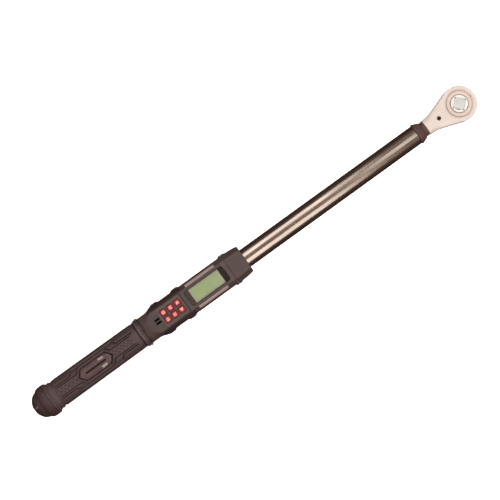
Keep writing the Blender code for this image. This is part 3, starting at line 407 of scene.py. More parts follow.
def make_lcd_paint():
    """Unlit liquid crystal glass: grey-green, a shade lighter round its edge, with a faint cell grid."""
    p = Paint("lcd_green", roughness=0.35, Coat_Weight=0.3, Coat_Roughness=0.1)
    soft = p.ramp(p.noise(40, 3.0), (0.3, (0.248, 0.337, 0.158)), (0.7, (0.272, 0.367, 0.174)))
    grid = p.cells(1600)
    parts = p.parts()
    along = p.calculate("ABSOLUTE", p.calculate("SUBTRACT", parts["X"], sum(LCD_X) / 2))
    edge_y = p.ranged(p.calculate("ABSOLUTE", parts["Y"]), 0.0, 1.0, 0.0076, 0.0083)
    edge_x = p.ranged(along, 0.0, 1.0, 0.0172, 0.0200)
    soft = p.blend(p.calculate("MAXIMUM", edge_y, edge_x), soft, (0.300, 0.305, 0.222))
    return p.finish(p.times(soft, p.ranged(grid, 0.97, 1.03, 0.0, 0.8)), None, 0, 0, grid, 0.000004)


def make_window_paint():
    """Clear display lens: little colour of its own, a soft surface gloss, faint smears."""
    p = Paint("clear_plastic", Alpha=0.06, IOR=1.49)
    smears = p.noise(90, 5.0)
    base = p.ramp(smears, (0.3, (0.10, 0.09, 0.08)), (0.7, (0.14, 0.13, 0.12)))
    return p.finish(base, smears, 0.05, 0.16, p.noise(600, 3.0), 0.000003)


def make_bar_paint():
    """Smoked light-guide bar: brown-grey, glossy, with moulded flow lines along it and painted shade
    towards its outer edge.
    """
    p = Paint("smoked_clear", Coat_Weight=0.6, Coat_Roughness=0.12)
    lines = p.noise(500, 3.0, p.stretched(0.03, 1.0, 1.0))
    # Painted shade: the bar darkens towards its outer edge, which turns down the shoulder
    shade = p.ranged(p.calculate("ABSOLUTE", p.parts()["Y"]), 1.0, 0.45, 0.0158, 0.0172)
    base = p.ramp(lines, (0.3, (0.28, 0.216, 0.200)), (0.7, (0.44, 0.350, 0.328)))
    return p.finish(p.times(base, shade), p.noise(200, 4.0), 0.16, 0.26, lines, 0.00002)


def make_board_paint():
    """Circuit board: green mask over faint copper tracks."""
    p = Paint("board_green", roughness=0.4)
    tracks = p.texture("ShaderNodeTexBrick", inputs=[("Scale", 260), ("Mortar Size", 0.06)]).outputs["Fac"]
    base = p.ramp(tracks, (0.0, (0.012, 0.11, 0.045)), (1.0, (0.04, 0.22, 0.09)))
    base = p.blend(0.3, base, p.ramp(p.noise(300), (0.3, (0.01, 0.09, 0.04)), (0.7, (0.02, 0.14, 0.06))))
    return p.finish(base, p.noise(400, 3.0), 0.32, 0.50, tracks, 0.00003)


def make_foil_paint():
    """Strain gauge: copper-gold foil in fine parallel lines on amber film."""
    p = Paint("gauge_foil", roughness=0.35, metallic=0.4)
    lines = p.wave(900, bands_direction="Z")
    base = p.ramp(lines, (0.35, (0.42, 0.22, 0.06)), (0.65, (0.80, 0.55, 0.24)))
    return p.finish(base, p.noise(500, 3.0), 0.28, 0.45, lines, 0.00001)


def make_battery_paint():
    """Shrink sleeve on a cell: blue-grey with a copper band towards one end of each cell."""
    p = Paint("battery_case", roughness=0.3, metallic=0.5)
    bands = p.wave(1 / CELL_LENGTH / math.pi, bands_direction="X", wave_profile="SAW")
    base = p.ramp(bands, (0.68, (0.09, 0.17, 0.26)), (0.72, (0.55, 0.30, 0.12)))
    return p.finish(base, p.noise(200, 4.0), 0.22, 0.40, p.noise(1500, 3.0), 0.00001)


SPECIAL = {
    "key_red": make_key_paint,
    "bezel_plastic": make_bezel_paint,
    "badge_plastic": make_badge_paint,
    "plated_tube": make_tube_paint,
    "lcd_green": make_lcd_paint,
    "clear_plastic": make_window_paint,
    "smoked_clear": make_bar_paint,
    "board_green": make_board_paint,
    "gauge_foil": make_foil_paint,
    "battery_case": make_battery_paint,
}
PAINT = make_paints()

# ---------------------------------------------------------------- mesh helpers


def placed(name, data):
    """A new object in the scene."""
    made = bpy.data.objects.new(name, data)
    bpy.context.scene.collection.objects.link(made)
    return made


def add(name, verts, faces):
    mesh = bpy.data.meshes.new(name)
    mesh.from_pydata([tuple(map(float, v)) for v in verts], [], faces)
    tidy = bmesh.new()
    tidy.from_mesh(mesh)
    bmesh.ops.recalc_face_normals(tidy, faces=tidy.faces)
    tidy.to_mesh(mesh)
    tidy.free()
    return placed(name, mesh)


def apply(piece):
    """Turns a piece's modifiers into plain mesh."""
    bpy.context.view_layer.update()
    graph = bpy.context.evaluated_depsgraph_get()
    mesh = bpy.data.meshes.new_from_object(piece.evaluated_get(graph))
    piece.modifiers.clear()
    piece.data = mesh
    return piece


def combine(target, operation, *tools):
    """Cuts, joins or intersects a piece with tools, which are used up."""
    for tool in tools:
        modifier = target.modifiers.new("combine", "BOOLEAN")
        modifier.operation = operation
        modifier.object = tool
        apply(target)
        bpy.data.objects.remove(tool)
    return target


def cut(target, *tools):
    return combine(target, "DIFFERENCE", *tools)


def merge(name, *pieces):
    """Puts several separate closed meshes into one object."""
    whole = bmesh.new()
    for piece in pieces:
        piece.data.transform(piece.matrix_world)
        whole.from_mesh(piece.data)
        bpy.data.objects.remove(piece)
    mesh = bpy.data.meshes.new(name)
    whole.to_mesh(mesh)
    whole.free()
    return placed(name, mesh)


def show(piece, paint, body, *nodes, slot=None, angle=32):
    """Paints a piece, smooths its round faces, and puts it on its body in place of CAD nodes."""
    piece.data.materials.clear()
    piece.data.materials.append(PAINT[paint])
    piece.data.shade_smooth()
    piece.data.set_sharp_from_angle(angle=math.radians(angle))
    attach(piece, body)
    if nodes:
        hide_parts(*nodes)
    return piece


def eased(outline, reach, closed=True, steps=3):
    """An outline whose corners are replaced by small curves that start reach away from them. A
    corner given twice counts once."""
    outline = [corner for i, corner in enumerate(outline) if tuple(corner) != tuple(outline[i - 1])]
    made = []
    count = len(outline)
    for i, corner in enumerate(outline):
        here = np.array(corner, float)
        if not closed and i in (0, count - 1):
            made.append(tuple(here))
            continue
        before = np.array(outline[i - 1], float) - here
        after = np.array(outline[(i + 1) % count], float) - here
        lengths = [np.linalg.norm(before), np.linalg.norm(after)]
        size = min(reach, 0.45 * lengths[0], 0.45 * lengths[1])
        first = here + before / lengths[0] * size
        last = here + after / lengths[1] * size
        for k in range(steps + 1):
            t = k / steps
            made.append(tuple((1 - t) ** 2 * first + 2 * t * (1 - t) * here + t * t * last))
    return made


def smooth(value, low, high):
    """0 below low, 1 above high, and a smooth rise between them."""
    t = np.clip((value - low) / (high - low), 0, 1)
    return t * t * (3 - 2 * t)


def between(value, rear_foot, rear_top, front_top, front_foot):
    """1 between the tops, 0 outside the feet, and smooth sides."""
    return smooth(value, rear_foot, rear_top) * (1 - smooth(value, front_top, front_foot))


def stitch(rows, closed=False):
    """Faces between rows of vertex numbers, each row a loop. A row of one number is a pole."""
    faces = []
    pairs = list(zip(rows, rows[1:]))
    if closed:
        pairs.append((rows[-1], rows[0]))
    for one, two in pairs:
        count = max(len(one), len(two))
        for i in range(count):
            j = (i + 1) % count
            if len(one) == 1:
                faces.append((one[0], two[i], two[j]))
            elif len(two) == 1:
                faces.append((one[i], one[j], two[0]))
            else:
                faces.append((one[i], one[j], two[j], two[i]))
    return faces


def numbered(rings):
    """The points of all rings in one list, and each ring as a row of places in that list."""
    verts, rows = [], []
    for ring in rings:
        rows.append(list(range(len(verts), len(verts) + len(ring))))
        verts.extend(ring)
    return verts, rows


def loft(name, rings, closed=False, capped=False):
    """A skin over rings of points, which may run back to the first ring or have flat ends."""
    verts, rows = numbered(rings)
    faces = stitch(rows, closed)
    if capped:
        faces += [tuple(reversed(rows[0])), tuple(rows[-1])]
    return add(name, verts, faces)


def turned(name, profile, centre, along="X", steps=96, closed=False, reach=0.0003):
    """A piece turned about an axis through centre, from (distance along, radius) pairs. Closed is
    for a ring; otherwise the profile starts and ends on the axis."""
    angles = np.arange(steps) * TURN / steps
    rings = []
    for distance, radius in eased(profile, reach, closed):
        ring = []
        for a in [0.0] if radius < 1e-7 else angles:
            across = (radius * math.sin(a), radius * math.cos(a))
            place = (distance, *across) if along == "X" else (across[1], across[0], distance)
            ring.append([c + p for c, p in zip(centre, place)])
        rings.append(ring)
    return loft(name, rings, closed)


def on_axis(name, profile, steps=96, closed=True, reach=0.0003):
    """A piece turned about the tool's own axis."""
    return turned(name, profile, (0, 0, AXIS_Z), "X", steps, closed, reach)


def profile_mm(origin, *pairs):
    """Points of a profile from millimetre pairs: distance from the origin, and radius."""
    return [(origin + distance / 1000, radius / 1000) for distance, radius in pairs]


def prism(name, outline, *levels):
    """A solid along Z. Each level is (how far the outline is grown there, z)."""
    return loft(name, [[(x, y, z) for x, y in outline(grow)] for grow, z in levels], capped=True)


def fixed(outline):
    """An outline that doesn't grow."""
    return lambda grow: outline


def rectangle(x_range, y_range, corner, grow=0.0, steps=5):
    """A rounded rectangle, counter-clockwise."""
    x0, x1 = x_range[0] - grow, x_range[1] + grow
    y0, y1 = y_range[0] - grow, y_range[1] + grow
    return eased([(x0, y0), (x1, y0), (x1, y1), (x0, y1)], max(corner + grow, 1e-5), steps=steps)


def centred(x_range, half, corner, more=0.0):
    """The outline of a part that is centred on the tool, by how far it is grown."""
    return lambda grow: rectangle(x_range, (-half, half), corner, grow + more)


def block(x, y, half_x, half_y, corner):
    """The outline of a part around (x, y), by how far it is grown."""
    return lambda grow: rectangle((x - half_x, x + half_x), (y - half_y, y + half_y), corner, grow)


def well(name, outline, bottom, surface, flare=0.00025):
    """A cutter for an opening whose edge is slightly flared at the surface."""
    z = AXIS_Z + surface
    wide = 2 * flare
    return prism(name, outline, (0, AXIS_Z + bottom), (0, z - flare), (wide, z + flare), (wide, z + 0.004))


def cylinder(name, radius, x, y, bottom, top, flare=0.0, steps=48):
    """A cutter along Z, which may be flared at its top."""
    wide = radius + 2 * flare
    profile = [(bottom, 0), (bottom, radius), (top - flare, radius), (top + flare, wide)]
    profile += [(top + 0.004, wide), (top + 0.004, 0)]
    return turned(name, profile, (x, y, 0), "Z", steps, reach=1e-6)


# ---------------------------------------------------------------- ratchet head


def head_blank():
    """Forged head: disc, flared neck, journal and spigot, blended into one skin."""
    half = HEAD_HALF - 0.0001
    profile = [(-half, 0), (-half, HEAD_RADIUS), (half, HEAD_RADIUS), (half, 0)]
    disc = turned("disc", profile, (0, 0, AXIS_Z), "Z", reach=0.0021)
    flare = math.radians(20)
    angles = np.arange(96) * TURN / 96
    rings = []
    for x in np.linspace(NECK_END, -0.0070, 44):
        share = smooth(x, -0.0440, -0.0210)
        flank = (HEAD_RADIUS + x * math.sin(flare)) / math.cos(flare)
        width = (flank + NECK_RADIUS + math.hypot(flank - NECK_RADIUS, 0.0026)) / 2
        width = min(width, HEAD_RADIUS - 0.0002)
        height = NECK_RADIUS + (half - NECK_RADIUS) * share
        power = 2 + 6 * share
        ring = []
        for a in angles:
            c, s = math.cos(a), math.sin(a)
            y = width * math.copysign(abs(c) ** (2 / power), c)
            z = height * math.copysign(abs(s) ** (2 / power), s)
            ring.append((x, y, AXIS_Z + z))
        rings.append(ring)
    neck = loft("neck", rings, capped=True)
    profile = profile_mm(HEAD_X[0], (0, 0), (0, 6.0)) + profile_mm(TUBE_X[1], (0, 6.0), (0, 7.7))
    journal = on_axis("journal", profile + profile_mm(-0.045, (0, 7.7), (0, 0)), closed=False)
    blank = merge("ratchet_head_visual", disc, neck, journal)
    remesh = blank.modifiers.new("skin", "REMESH")
    remesh.mode = "VOXEL"
    remesh.voxel_size = 0.00045
    smoothing = blank.modifiers.new("smooth", "SMOOTH")
    smoothing.iterations = 9
    return apply(blank)


def make_head():
    head = head_blank()
    top = HEAD_Z[1]
    floor = HEAD_Z[0] + CAVITY_FLOOR
    dowel = middle("head_dowel", 0)
    rim_line = profile_mm(top, (-0.3, 17.8), (1, 17.0), (1, 18.6))
    cut(head, cylinder("cavity", 0.0145, 0, 0, floor, top - 0.0042))
    cut(head, cylinder("seat", COVER_RADIUS + GAP, 0, 0, top - 0.0041, top, 0.00025, 96))
    cut(head, turned("rim_line", rim_line, (0, 0, 0), "Z", 128, closed=True, reach=1e-6))
    cut(head, cylinder("hole", BOSS_RADIUS + GAP, 0, 0, HEAD_Z[0] - 0.01, floor + 0.001))
    cut(head, cylinder("screw_hole", 0.0026, SET_SCREW_X, 0, AXIS_Z - 0.0045, AXIS_Z + 0.0112, 0.0002, 36))
    cut(head, cylinder("dowel_hole", 0.0023, dowel, 0, AXIS_Z - 0.02, AXIS_Z + 0.02))
    show(head, "satin_steel", "wrench_frame", "ratchet_head", slot="satin_steel")


def make_head_fittings():
    top = HEAD_Z[1]
    step = COVER_RADIUS - 0.0014
    plate = [
        (-0.0038, COVER_HOLE),
        (-0.0038, COVER_RADIUS),
        (-0.0022, COVER_RADIUS),
        (-0.0022, step),
        (-0.0001, step),
        (-0.0001, COVER_HOLE + 0.0003),
        (-0.0004, COVER_HOLE),
    ]
    cover = turned("wheel_cover_visual", plate, (0, 0, top), "Z", 128, closed=True, reach=0.00035)
    show(cover, "machined_steel", "wrench_frame", "wheel_cover", slot="satin_steel")

    gap = math.radians(5)
    rings = []
    for a in np.linspace(gap, TURN - gap, 120):
        ring = []
        for b in np.arange(12) * TURN / 12:
            radius = COVER_RADIUS - 0.00015 + 0.00095 * math.cos(b)
            ring.append((radius * math.cos(a), radius * math.sin(a), top - 0.0014 + 0.00048 * math.sin(b)))
        rings.append(ring)
    snap = loft("cover_snap_ring_visual", rings, capped=True)
    show(snap, "snap_steel", "wrench_frame", "cover_snap_ring", slot="dark_steel")

    low, high = ends("pawl_set_screw", 2)
    profile = profile_mm(low, (0, 0), (0, 1.8), (0.6, 2.4)) + profile_mm(high, (0, 2.4), (0, 0))
    screw = turned("pawl_set_screw_visual", profile, (SET_SCREW_X, 0, 0), "Z", 48, reach=0.0004)
    angles = np.arange(6) * TURN / 6
    hexagon = [(SET_SCREW_X + 0.0015 * math.cos(a), 0.0015 * math.sin(a)) for a in angles]
    cut(screw, prism("socket", fixed(hexagon), (0, high - 0.0022), (0, high + 0.004)))
    show(screw, "dark_steel", "wrench_frame", "pawl_set_screw", slot="dark_steel")


def square_bar(grow, corner=0.0006):
    """The drive's outline with sides longer by grow. Its corners are on the X and Y axes."""
    reach = (DRIVE_SIDE + grow) / math.sqrt(2)
    return eased([(reach, 0), (0, reach), (-reach, 0), (0, -reach)], corner, steps=6)


def make_pawl_spring():
    """The pawl's spring, as a copy of its CAD mesh with a mesh of its own."""
    node = frame["nodes"]["pawl_spring"]
    spring = placed("pawl_spring_visual", node.data.copy())
    spring.data.transform(node.matrix_world)
    show(spring, "polished_steel", "wrench_frame", "pawl_spring", slot="polished_steel")
    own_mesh(spring)


def make_wheel():
    """Ratchet wheel with its two bosses, the square hole, corner reliefs and ball track."""
    low, high = ends("ratchet_wheel", 2)
    teeth_low = HEAD_Z[0] + CAVITY_FLOOR + GAP
    teeth_high = HEAD_Z[1] - 0.0038 - 2 * GAP
    profile = [(low, 0), (low, BOSS_RADIUS), (teeth_low, BOSS_RADIUS), (teeth_low, 0.0132)]
    profile += [(teeth_high, 0.0132), (teeth_high, BOSS_RADIUS), (high, BOSS_RADIUS), (high, 0)]
    wheel = turned("ratchet_wheel_visual", profile, (0, 0, 0), "Z", 144, reach=0.0005)
    levels = (0.0006, low - 0.001), (0.0006, low), (0.0004, low + 0.0001)
    levels += (0.0004, high - 0.0001), (0.0006, high), (0.0006, high + 0.001)
    cut(wheel, prism("hole", square_bar, *levels))
    corner = DRIVE_SIDE / math.sqrt(2) - 0.00035
    for a in np.arange(4) * TURN / 4:
        x, y = corner * math.cos(a), corner * math.sin(a)
        cut(wheel, cylinder("relief", 0.00085, x, y, low - 0.001, high + 0.001, steps=20))
    c, s = math.cos(BALL_SIDE), math.sin(BALL_SIDE)
    track = eased([(0.0052, -0.0023), (0.0074, -0.0023), (0.0074, 0.0023), (0.0052, 0.0023)], 0.0007)
    track = [(x * c - y * s, x * s + y * c) for x, y in track]
    cut(wheel, prism("track", fixed(track), (0, low - 0.001), (0, high + 0.001)))
    show(wheel, "boss_steel", "ratchet_wheel", "ratchet_wheel", slot="polished_steel")


def make_square():
    """Square drive bar with eased corners, chamfered ends and two ball wells."""
    low, high = ends("square_drive", 2)
    levels = (-0.0012, low), (0, low + 0.0009), (0, high - 0.0002), (-0.0004, high)
    drive = prism("square_drive_visual", lambda grow: square_bar(grow, 0.0015), *levels)
    side = Vector((math.cos(BALL_SIDE), math.sin(BALL_SIDE), 0))
    for name in ("socket_ball_lower", "socket_ball_upper"):
        profile = profile_mm(0.0, (0, 0), (0, 2.6), (12, 2.6), (12, 0))
        bore = turned("bore", profile, (0, 0, 0), "Z", 32, reach=1e-6)
        bore.rotation_euler = (0, math.pi / 2, BALL_SIDE)
        bore.location = side * (DRIVE_SIDE / 2 - 0.0090) + Vector((0, 0, middle(name, 2)))
        bpy.context.view_layer.update()
        cut(drive, bore)
    show(drive, "square_steel", "square_drive", "square_drive", slot="polished_steel")


# ---------------------------------------------------------------- tube and collar


def make_tube():
    bore = 0.0105
    profile = [(TUBE_X[0], bore), (TUBE_X[0], TUBE_RADIUS), (TUBE_X[1], TUBE_RADIUS), (TUBE_X[1], bore)]
    tube = on_axis("tube_visual", profile, steps=160, reach=0.0004)
    show(tube, "plated_tube", "wrench_frame", "tube", slot="plated_tube")


def make_collar():
    """Tapered collar with a flange, a waist band and a small step at the neck."""
    start, end = COLLAR_X
    profile = profile_mm(
        start,
        (0, 8.0), (0, 12.8), (0.4, 13.4), (1.9, 13.4), (2.3, 13.0), (2.5, 12.5), (3.1, 12.5),
        (3.3, 12.7), (5.0, 12.1), (9.2, 10.2), (9.6, 9.3), (10.6, 9.2), (11.0, 9.6),
    )
    profile += profile_mm(end, (-0.6, 9.6), (0, 9.1), (0, 8.0))
    collar = on_axis("tube_collar_visual", profile)
    show(collar, "collar_plastic", "wrench_frame", "tube_collar", slot="black_plastic")


# ---------------------------------------------------------------- housing

# The housing's four right-hand corners as (y, h)
MAIN = ((0.0133, 0.0215), (0.0183, 0.0152), (0.0183, -0.0090), (0.0115, -0.0195))
# The nose at several places: x, then its four right-hand corners as (y, h)
NOSE = (
    (-0.3395, ((0.0133, 0.0215), (0.0209, 0.0120), (0.0209, -0.0075), (0.0115, -0.0195))),
    (-0.3360, ((0.0133, 0.0215), (0.0211, 0.0120), (0.0211, -0.0075), (0.0115, -0.0195))),
    (-0.3338, ((0.0133, 0.0215), (0.0197, 0.0125), (0.0197, -0.0085), (0.0115, -0.0195))),
    (-0.3270, ((0.0131, 0.0212), (0.0194, 0.0124), (0.0194, -0.0084), (0.0113, -0.0192))),
    (-0.3210, ((0.0127, 0.0207), (0.0187, 0.0121), (0.0187, -0.0082), (0.0110, -0.0187))),
    (-0.3185, ((0.0125, 0.0204), (0.0182, 0.0119), (0.0182, -0.0081), (0.0107, -0.0184))),
    (-0.3176, ((0.0123, 0.0201), (0.0179, 0.0117), (0.0179, -0.0080), (0.0105, -0.0181))),
    (-0.3170, ((0.0119, 0.0196), (0.0174, 0.0114), (0.0174, -0.0077), (0.0101, -0.0176))),
)
# Where the housing runs out into its round rear end: x, half width, half height
REAR = (
    (-0.4634, 0.0174, 0.0186),
    (-0.4612, 0.0174, 0.0201),
    (-0.4590, 0.0174, 0.0218),
    (-0.4560, 0.0174, 0.0241),
    (-0.4530, 0.0175, 0.0268),
    (-0.4515, 0.0179, 0.0290),
    (-0.4500, 0.0190, 0.0320),
    (-0.4470, 0.0250, 0.0400),
)


def outline_reach(corners, angles, sharpness=90):
    """Distance from the axis to a mirrored convex outline, in each direction around the tool."""
    right = [np.array(c) for c in corners]
    loop = right + [c * (-1, 1) for c in reversed(right)]
    directions = np.stack([np.sin(angles), np.cos(angles)])
    total = np.zeros_like(angles)
    for one, two in zip(loop, loop[1:] + loop[:1]):
        edge = two - one
        normal = np.array([edge[1], -edge[0]])
        normal /= np.linalg.norm(normal)
        distance = normal @ one
        if distance < 0:
            normal, distance = -normal, -distance
        facing = np.clip(normal @ directions, 1e-4, None)
        total += (USUAL_REACH * facing / distance) ** sharpness
    return USUAL_REACH * total ** (-1 / sharpness)


def shell_reach(x, angles):
    """The housing's surface, from the axis, at x and in each direction."""
    main = outline_reach(MAIN, angles)
    if x > REAR[-1][0]:
        return main
    half_y, half_h = (np.interp(x, [r[0] for r in REAR], [r[k] for r in REAR]) for k in (1, 2))
    round_end = 1 / np.sqrt((np.sin(angles) / half_y) ** 2 + (np.cos(angles) / half_h) ** 2)
    power = 40
    both = (USUAL_REACH / main) ** power + (USUAL_REACH / round_end) ** power
    return USUAL_REACH * both ** (-1 / power)


def nose_reach(x, angles):
    stations = [station[0] for station in NOSE]
    corners = [
        tuple(np.interp(x, stations, [station[1][k][axis] for station in NOSE]) for axis in (0, 1))
        for k in range(4)
    ]
    return outline_reach(corners, angles)


def around(x, angles, reach):
    """Points at x, at a distance from the axis in each direction."""
    along = np.full_like(angles, x)
    return np.stack([along, reach * np.sin(angles), AXIS_Z + reach * np.cos(angles)], axis=1)


def half_shell(name, top):
    """One half of the housing as a hollow shell, parted at the axis height."""
    angles = np.linspace(-math.pi / 2, math.pi / 2, 220)
    if not top:
        angles = angles + math.pi
    start, end = SHELL_X
    stations = [start, start + 0.0003]
    stations += list(np.arange(start + 0.0008, -0.4465, 0.0006))
    stations += list(np.arange(-0.4440, end - 0.003, 0.0060)) + [end - 0.0005, end]
    bore = TUBE_RADIUS + GAP
    part = AXIS_Z + (0.00015 if top else -0.00015)
    rings = []
    for x in stations:
        outer = shell_reach(x, angles)
        if x in (start, end):
            outer = outer - 0.0003
        inner = np.full_like(angles, bore) if x < -0.4570 else np.maximum(outer - 0.0024, bore)
        ring = np.concatenate([around(x, angles, outer), around(x, angles[::-1], inner[::-1])])
        ring[:, 2] = np.maximum(ring[:, 2], part) if top else np.minimum(ring[:, 2], part)
        rings.append(ring)
    verts, rows = numbered(rings)
    faces = stitch(rows)
    for row in (rows[0], rows[-1]):
        back = row[::-1]
        faces += [(row[i], row[i + 1], back[i + 1], back[i]) for i in range(len(angles) - 1)]
    return add(name, verts, faces)


KEY_NAMES = ("key_power", "key_mode", "key_up", "key_memory", "key_units", "key_down")
KEYS = {name: (middle(name, 0), middle(name, 1)) for name in KEY_NAMES}
BUZZER_X = middle("buzzer", 0)


def make_front_cover():
    cover = half_shell("front_cover_visual", True)
    cut(cover, well("display", centred(WINDOW_X, WINDOW_HALF, 0.0030, GAP), 0.0150, FACE_H))
    for y_range in (BAR_Y, (-BAR_Y[1], -BAR_Y[0])):
        slot = rectangle(BAR_X, y_range, 0.0004, 0.00006, 2)
        cut(cover, prism("bar", fixed(slot), (0, AXIS_Z + 0.0135), (0, AXIS_Z + 0.0260)))
    plate = centred(KEYPAD_X, KEYPAD_HALF, 0.0012, GAP)
    cut(cover, well("recess", plate, FACE_H - 0.0009, FACE_H, 0.00015))
    for x, y in KEYS.values():
        hole = block(x, y, 0.0041, 0.0041, 0.0008)
        cut(cover, prism("key_hole", hole, (0, AXIS_Z + 0.0150), (0, AXIS_Z + 0.0250)))
    front = KEYPAD_X[1]
    y_range = (-KEYPAD_HALF - 0.0006, KEYPAD_HALF + 0.0016)
    groove = rectangle((front + 0.0003, front + 0.0015), y_range, 0.0003)
    face = AXIS_Z + FACE_H
    cut(cover, prism("groove", fixed(groove), (0, face - 0.0019), (0, face + 0.002)))
    for y in (0.0021, -0.0021):
        cut(cover, well("slit", block(BUZZER_X, y, 0.0036, 0.0013, 0.0010), 0.0150, FACE_H, 0.00012))
    show(cover, "shell_plastic", "wrench_frame", "front_cover", slot="black_plastic")
    # A near-black sheet without gloss just above the buzzer, under the slits: painted shade that keeps
    # them dark
    z = ends("buzzer", 2)[1]
    painted_shade_sheet = block(BUZZER_X, 0.0, 0.0048, 0.0044, 0.0004)
    painted_shade_sheet = prism("slit_painted_shade_visual", painted_shade_sheet, (0, z + 0.0002), (0, z + 0.0005))
    show(painted_shade_sheet, "slit_painted_shade", "wrench_frame")


def make_rear_cover():
    cover = half_shell("rear_cover_visual", False)
    for name in ("front_left", "front_right", "rear_left", "rear_right"):
        node = f"housing_screw_{name}"
        x, y = middle(node, 0), middle(node, 1)
        cut(cover, cylinder("counterbore", 0.0024, x, y, AXIS_Z - 0.024, AXIS_Z - 0.0112, steps=32))
        low, high = ends(node, 2)
        profile = profile_mm(low, (0, 0), (0, 1.4), (0.3, 1.9), (0.7, 2.1), (1.6, 2.1), (1.6, 1.2))
        profile += profile_mm(high, (-0.6, 1.2), (0, 0.6), (0, 0))
        screw = turned(f"{node}_visual", profile, (x, y, 0), "Z", 40, reach=0.0002)
        for size in ((0.0012, 0.0003), (0.0003, 0.0012)):
            cut(screw, prism("cross", block(x, y, *size, 0.0001), (0, low - 0.001), (0, low + 0.0006)))
        show(screw, "dark_steel", "wrench_frame", node, slot="dark_steel")
    show(cover, "black_plastic", "wrench_frame", "rear_cover", slot="black_plastic")


def bored(angles, *stations):
    """Rings of a bore around the tube."""
    return [around(x, angles, np.full_like(angles, TUBE_RADIUS + GAP)) for x in stations]


def make_nose():
    """Nose block around the tube, with a rib on each side at its rear."""
    angles = np.arange(360) * TURN / 360
    start, end = SHELL_X[1] + 0.00005, NOSE_X[1]
    stations = [start, start + 0.0006, start + 0.0008, *np.arange(start + 0.0014, end - 0.0010, 0.0009)]
    stations += [end - 0.0006, end - 0.0002, end]
    seam = smooth(np.cos(angles), 0.72, 0.82)
    easing = {start: 0.0009 * seam, start + 0.0006: 0.0008 * seam, end: 0.0006, end - 0.0002: 0.0002}
    rings = [around(x, angles, nose_reach(x, angles) - easing.get(x, 0)) for x in stations]
    nose = loft("housing_nose_visual", rings + bored(angles, end, start), closed=True)
    show(nose, "black_plastic", "wrench_frame", "housing_nose", slot="black_plastic")


def bumper_mask(x, y, h):
    """Distance inside the rubber skin's outline, in metres. y is from the middle outwards."""
    rear = (x - (-0.4520 + 0.92 * (y - 0.0136))) * 0.75
    front = -0.3394 - x
    top = (y - 0.0138) / 0.62
    foot = h + 0.0070
    shoulder = np.minimum.reduce([rear, -0.4018 - x, top, foot])
    flank = np.minimum.reduce([rear, front, (0.0150 - h), foot])
    return np.maximum(shoulder, flank)


# Where each rib starts, where its top starts and ends, and where it ends
RIBS_X = (
    (-0.4462, -0.4412, -0.4354, -0.4318),
    (-0.4147, -0.4112, -0.4048, -0.4018),
    (-0.3446, -0.3412, -0.3300, -0.3290),
)


def bumper_ribs(x, h):
    """Height of the raised ribs over the rubber skin."""
    ribs = np.zeros_like(x)
    for rib in RIBS_X:
        ribs = np.maximum(ribs, between(x, *rib))
    return RIB_HEIGHT * ribs * between(h, -0.0068, -0.0050, 0.0128, 0.0150)


def make_bumper(name, side):
    """Rubber skin over the shoulder and flank, as a field of heights over the housing."""
    angles = np.linspace(math.radians(30), math.radians(112), 110)
    outer, inner, keep = [], [], []
    for x in np.append(np.arange(-0.4536, -0.3403, 0.0004), SHELL_X[1]):
        base = shell_reach(x, angles)
        y, h = base * np.sin(angles), base * np.cos(angles)
        inside = bumper_mask(np.full_like(y, x), y, h)
        height = -0.0004 + 0.0017 * smooth(inside, -0.0005, 0.0007)
        height = height + bumper_ribs(np.full_like(y, x), h) * smooth(inside, 0.0, 0.0008)
        outer.append(around(x, angles, base + height))
        inner.append(around(x, angles, base - 0.0006))
        keep.append(inside > -0.0006)
    bumper = patch(name, outer, inner, keep, side)
    show(bumper, "black_rubber", "wrench_frame", name.replace("_visual", ""), slot="black_rubber")


def patch(name, outer, inner, keep=None, side=1):
    """A closed skin from two grids of points, where a cell is kept if all its corners are."""
    outer, inner = np.array(outer), np.array(inner)
    keep = np.ones(outer.shape[:2], bool) if keep is None else np.array(keep)
    rows, columns = keep.shape
    cells = keep[:-1, :-1] & keep[1:, :-1] & keep[:-1, 1:] & keep[1:, 1:]
    count = rows * columns
    verts = np.concatenate([outer.reshape(-1, 3), inner.reshape(-1, 3)])
    verts[:, 1] *= side
    faces = []
    padded = np.pad(cells, 1)
    for i, j in zip(*np.nonzero(cells)):
        a, b = i * columns + j, (i + 1) * columns + j
        c, d = b + 1, a + 1
        faces.append((a, b, c, d))
        faces.append((d + count, c + count, b + count, a + count))
        for open_side, one, two in (
            (not padded[i, j + 1], d, a),
            (not padded[i + 2, j + 1], b, c),
            (not padded[i + 1, j], a, b),
            (not padded[i + 1, j + 2], c, d),
        ):
            if open_side:
                faces.append((two, one, one + count, two + count))
    made = add(name, verts, faces)
    loose = bmesh.new()
    loose.from_mesh(made.data)
    bmesh.ops.delete(loose, geom=[v for v in loose.verts if not v.link_faces], context="VERTS")
    loose.to_mesh(made.data)
    loose.free()
    return made


# ---------------------------------------------------------------- display and keys


def make_display():
    low, high = ends("display_window", 2)
    glass = centred(WINDOW_X, WINDOW_HALF, 0.0027)
    levels = (-0.0002, low), (0, low + 0.0002), (0, high - 0.0003), (-0.0003, high)
    window = prism("display_window_visual", glass, *levels)
    show(window, "clear_plastic", "wrench_frame", "display_window", slot="clear_plastic")

    outline = centred((-0.4020, -0.3440), 0.0108, 0.0020)
    bezel = prism("lcd_bezel_visual", outline, (0, AXIS_Z + 0.0186), (0, AXIS_Z + 0.0192))
    opening = centred((-0.3946, -0.3518), 0.0094, 0.0004)
    levels = (0, AXIS_Z + 0.0170), (0, AXIS_Z + 0.0187), (0.0012, AXIS_Z + 0.0196)
    cut(bezel, prism("opening", opening, *levels))
    show(bezel, "bezel_plastic", "wrench_frame", "lcd_bezel", slot="black_plastic")

    low, high = ends("lcd_panel", 2)
    sheet = centred(LCD_X, ends("lcd_panel", 1)[1], 0.0003)
    levels = (-0.0001, low), (0, low + 0.0002), (0, high - 0.0002), (-0.0002, high)
    panel = prism("lcd_panel_visual", sheet, *levels)
    show(panel, "lcd_green", "wrench_frame", "lcd_panel", slot="lcd_green")


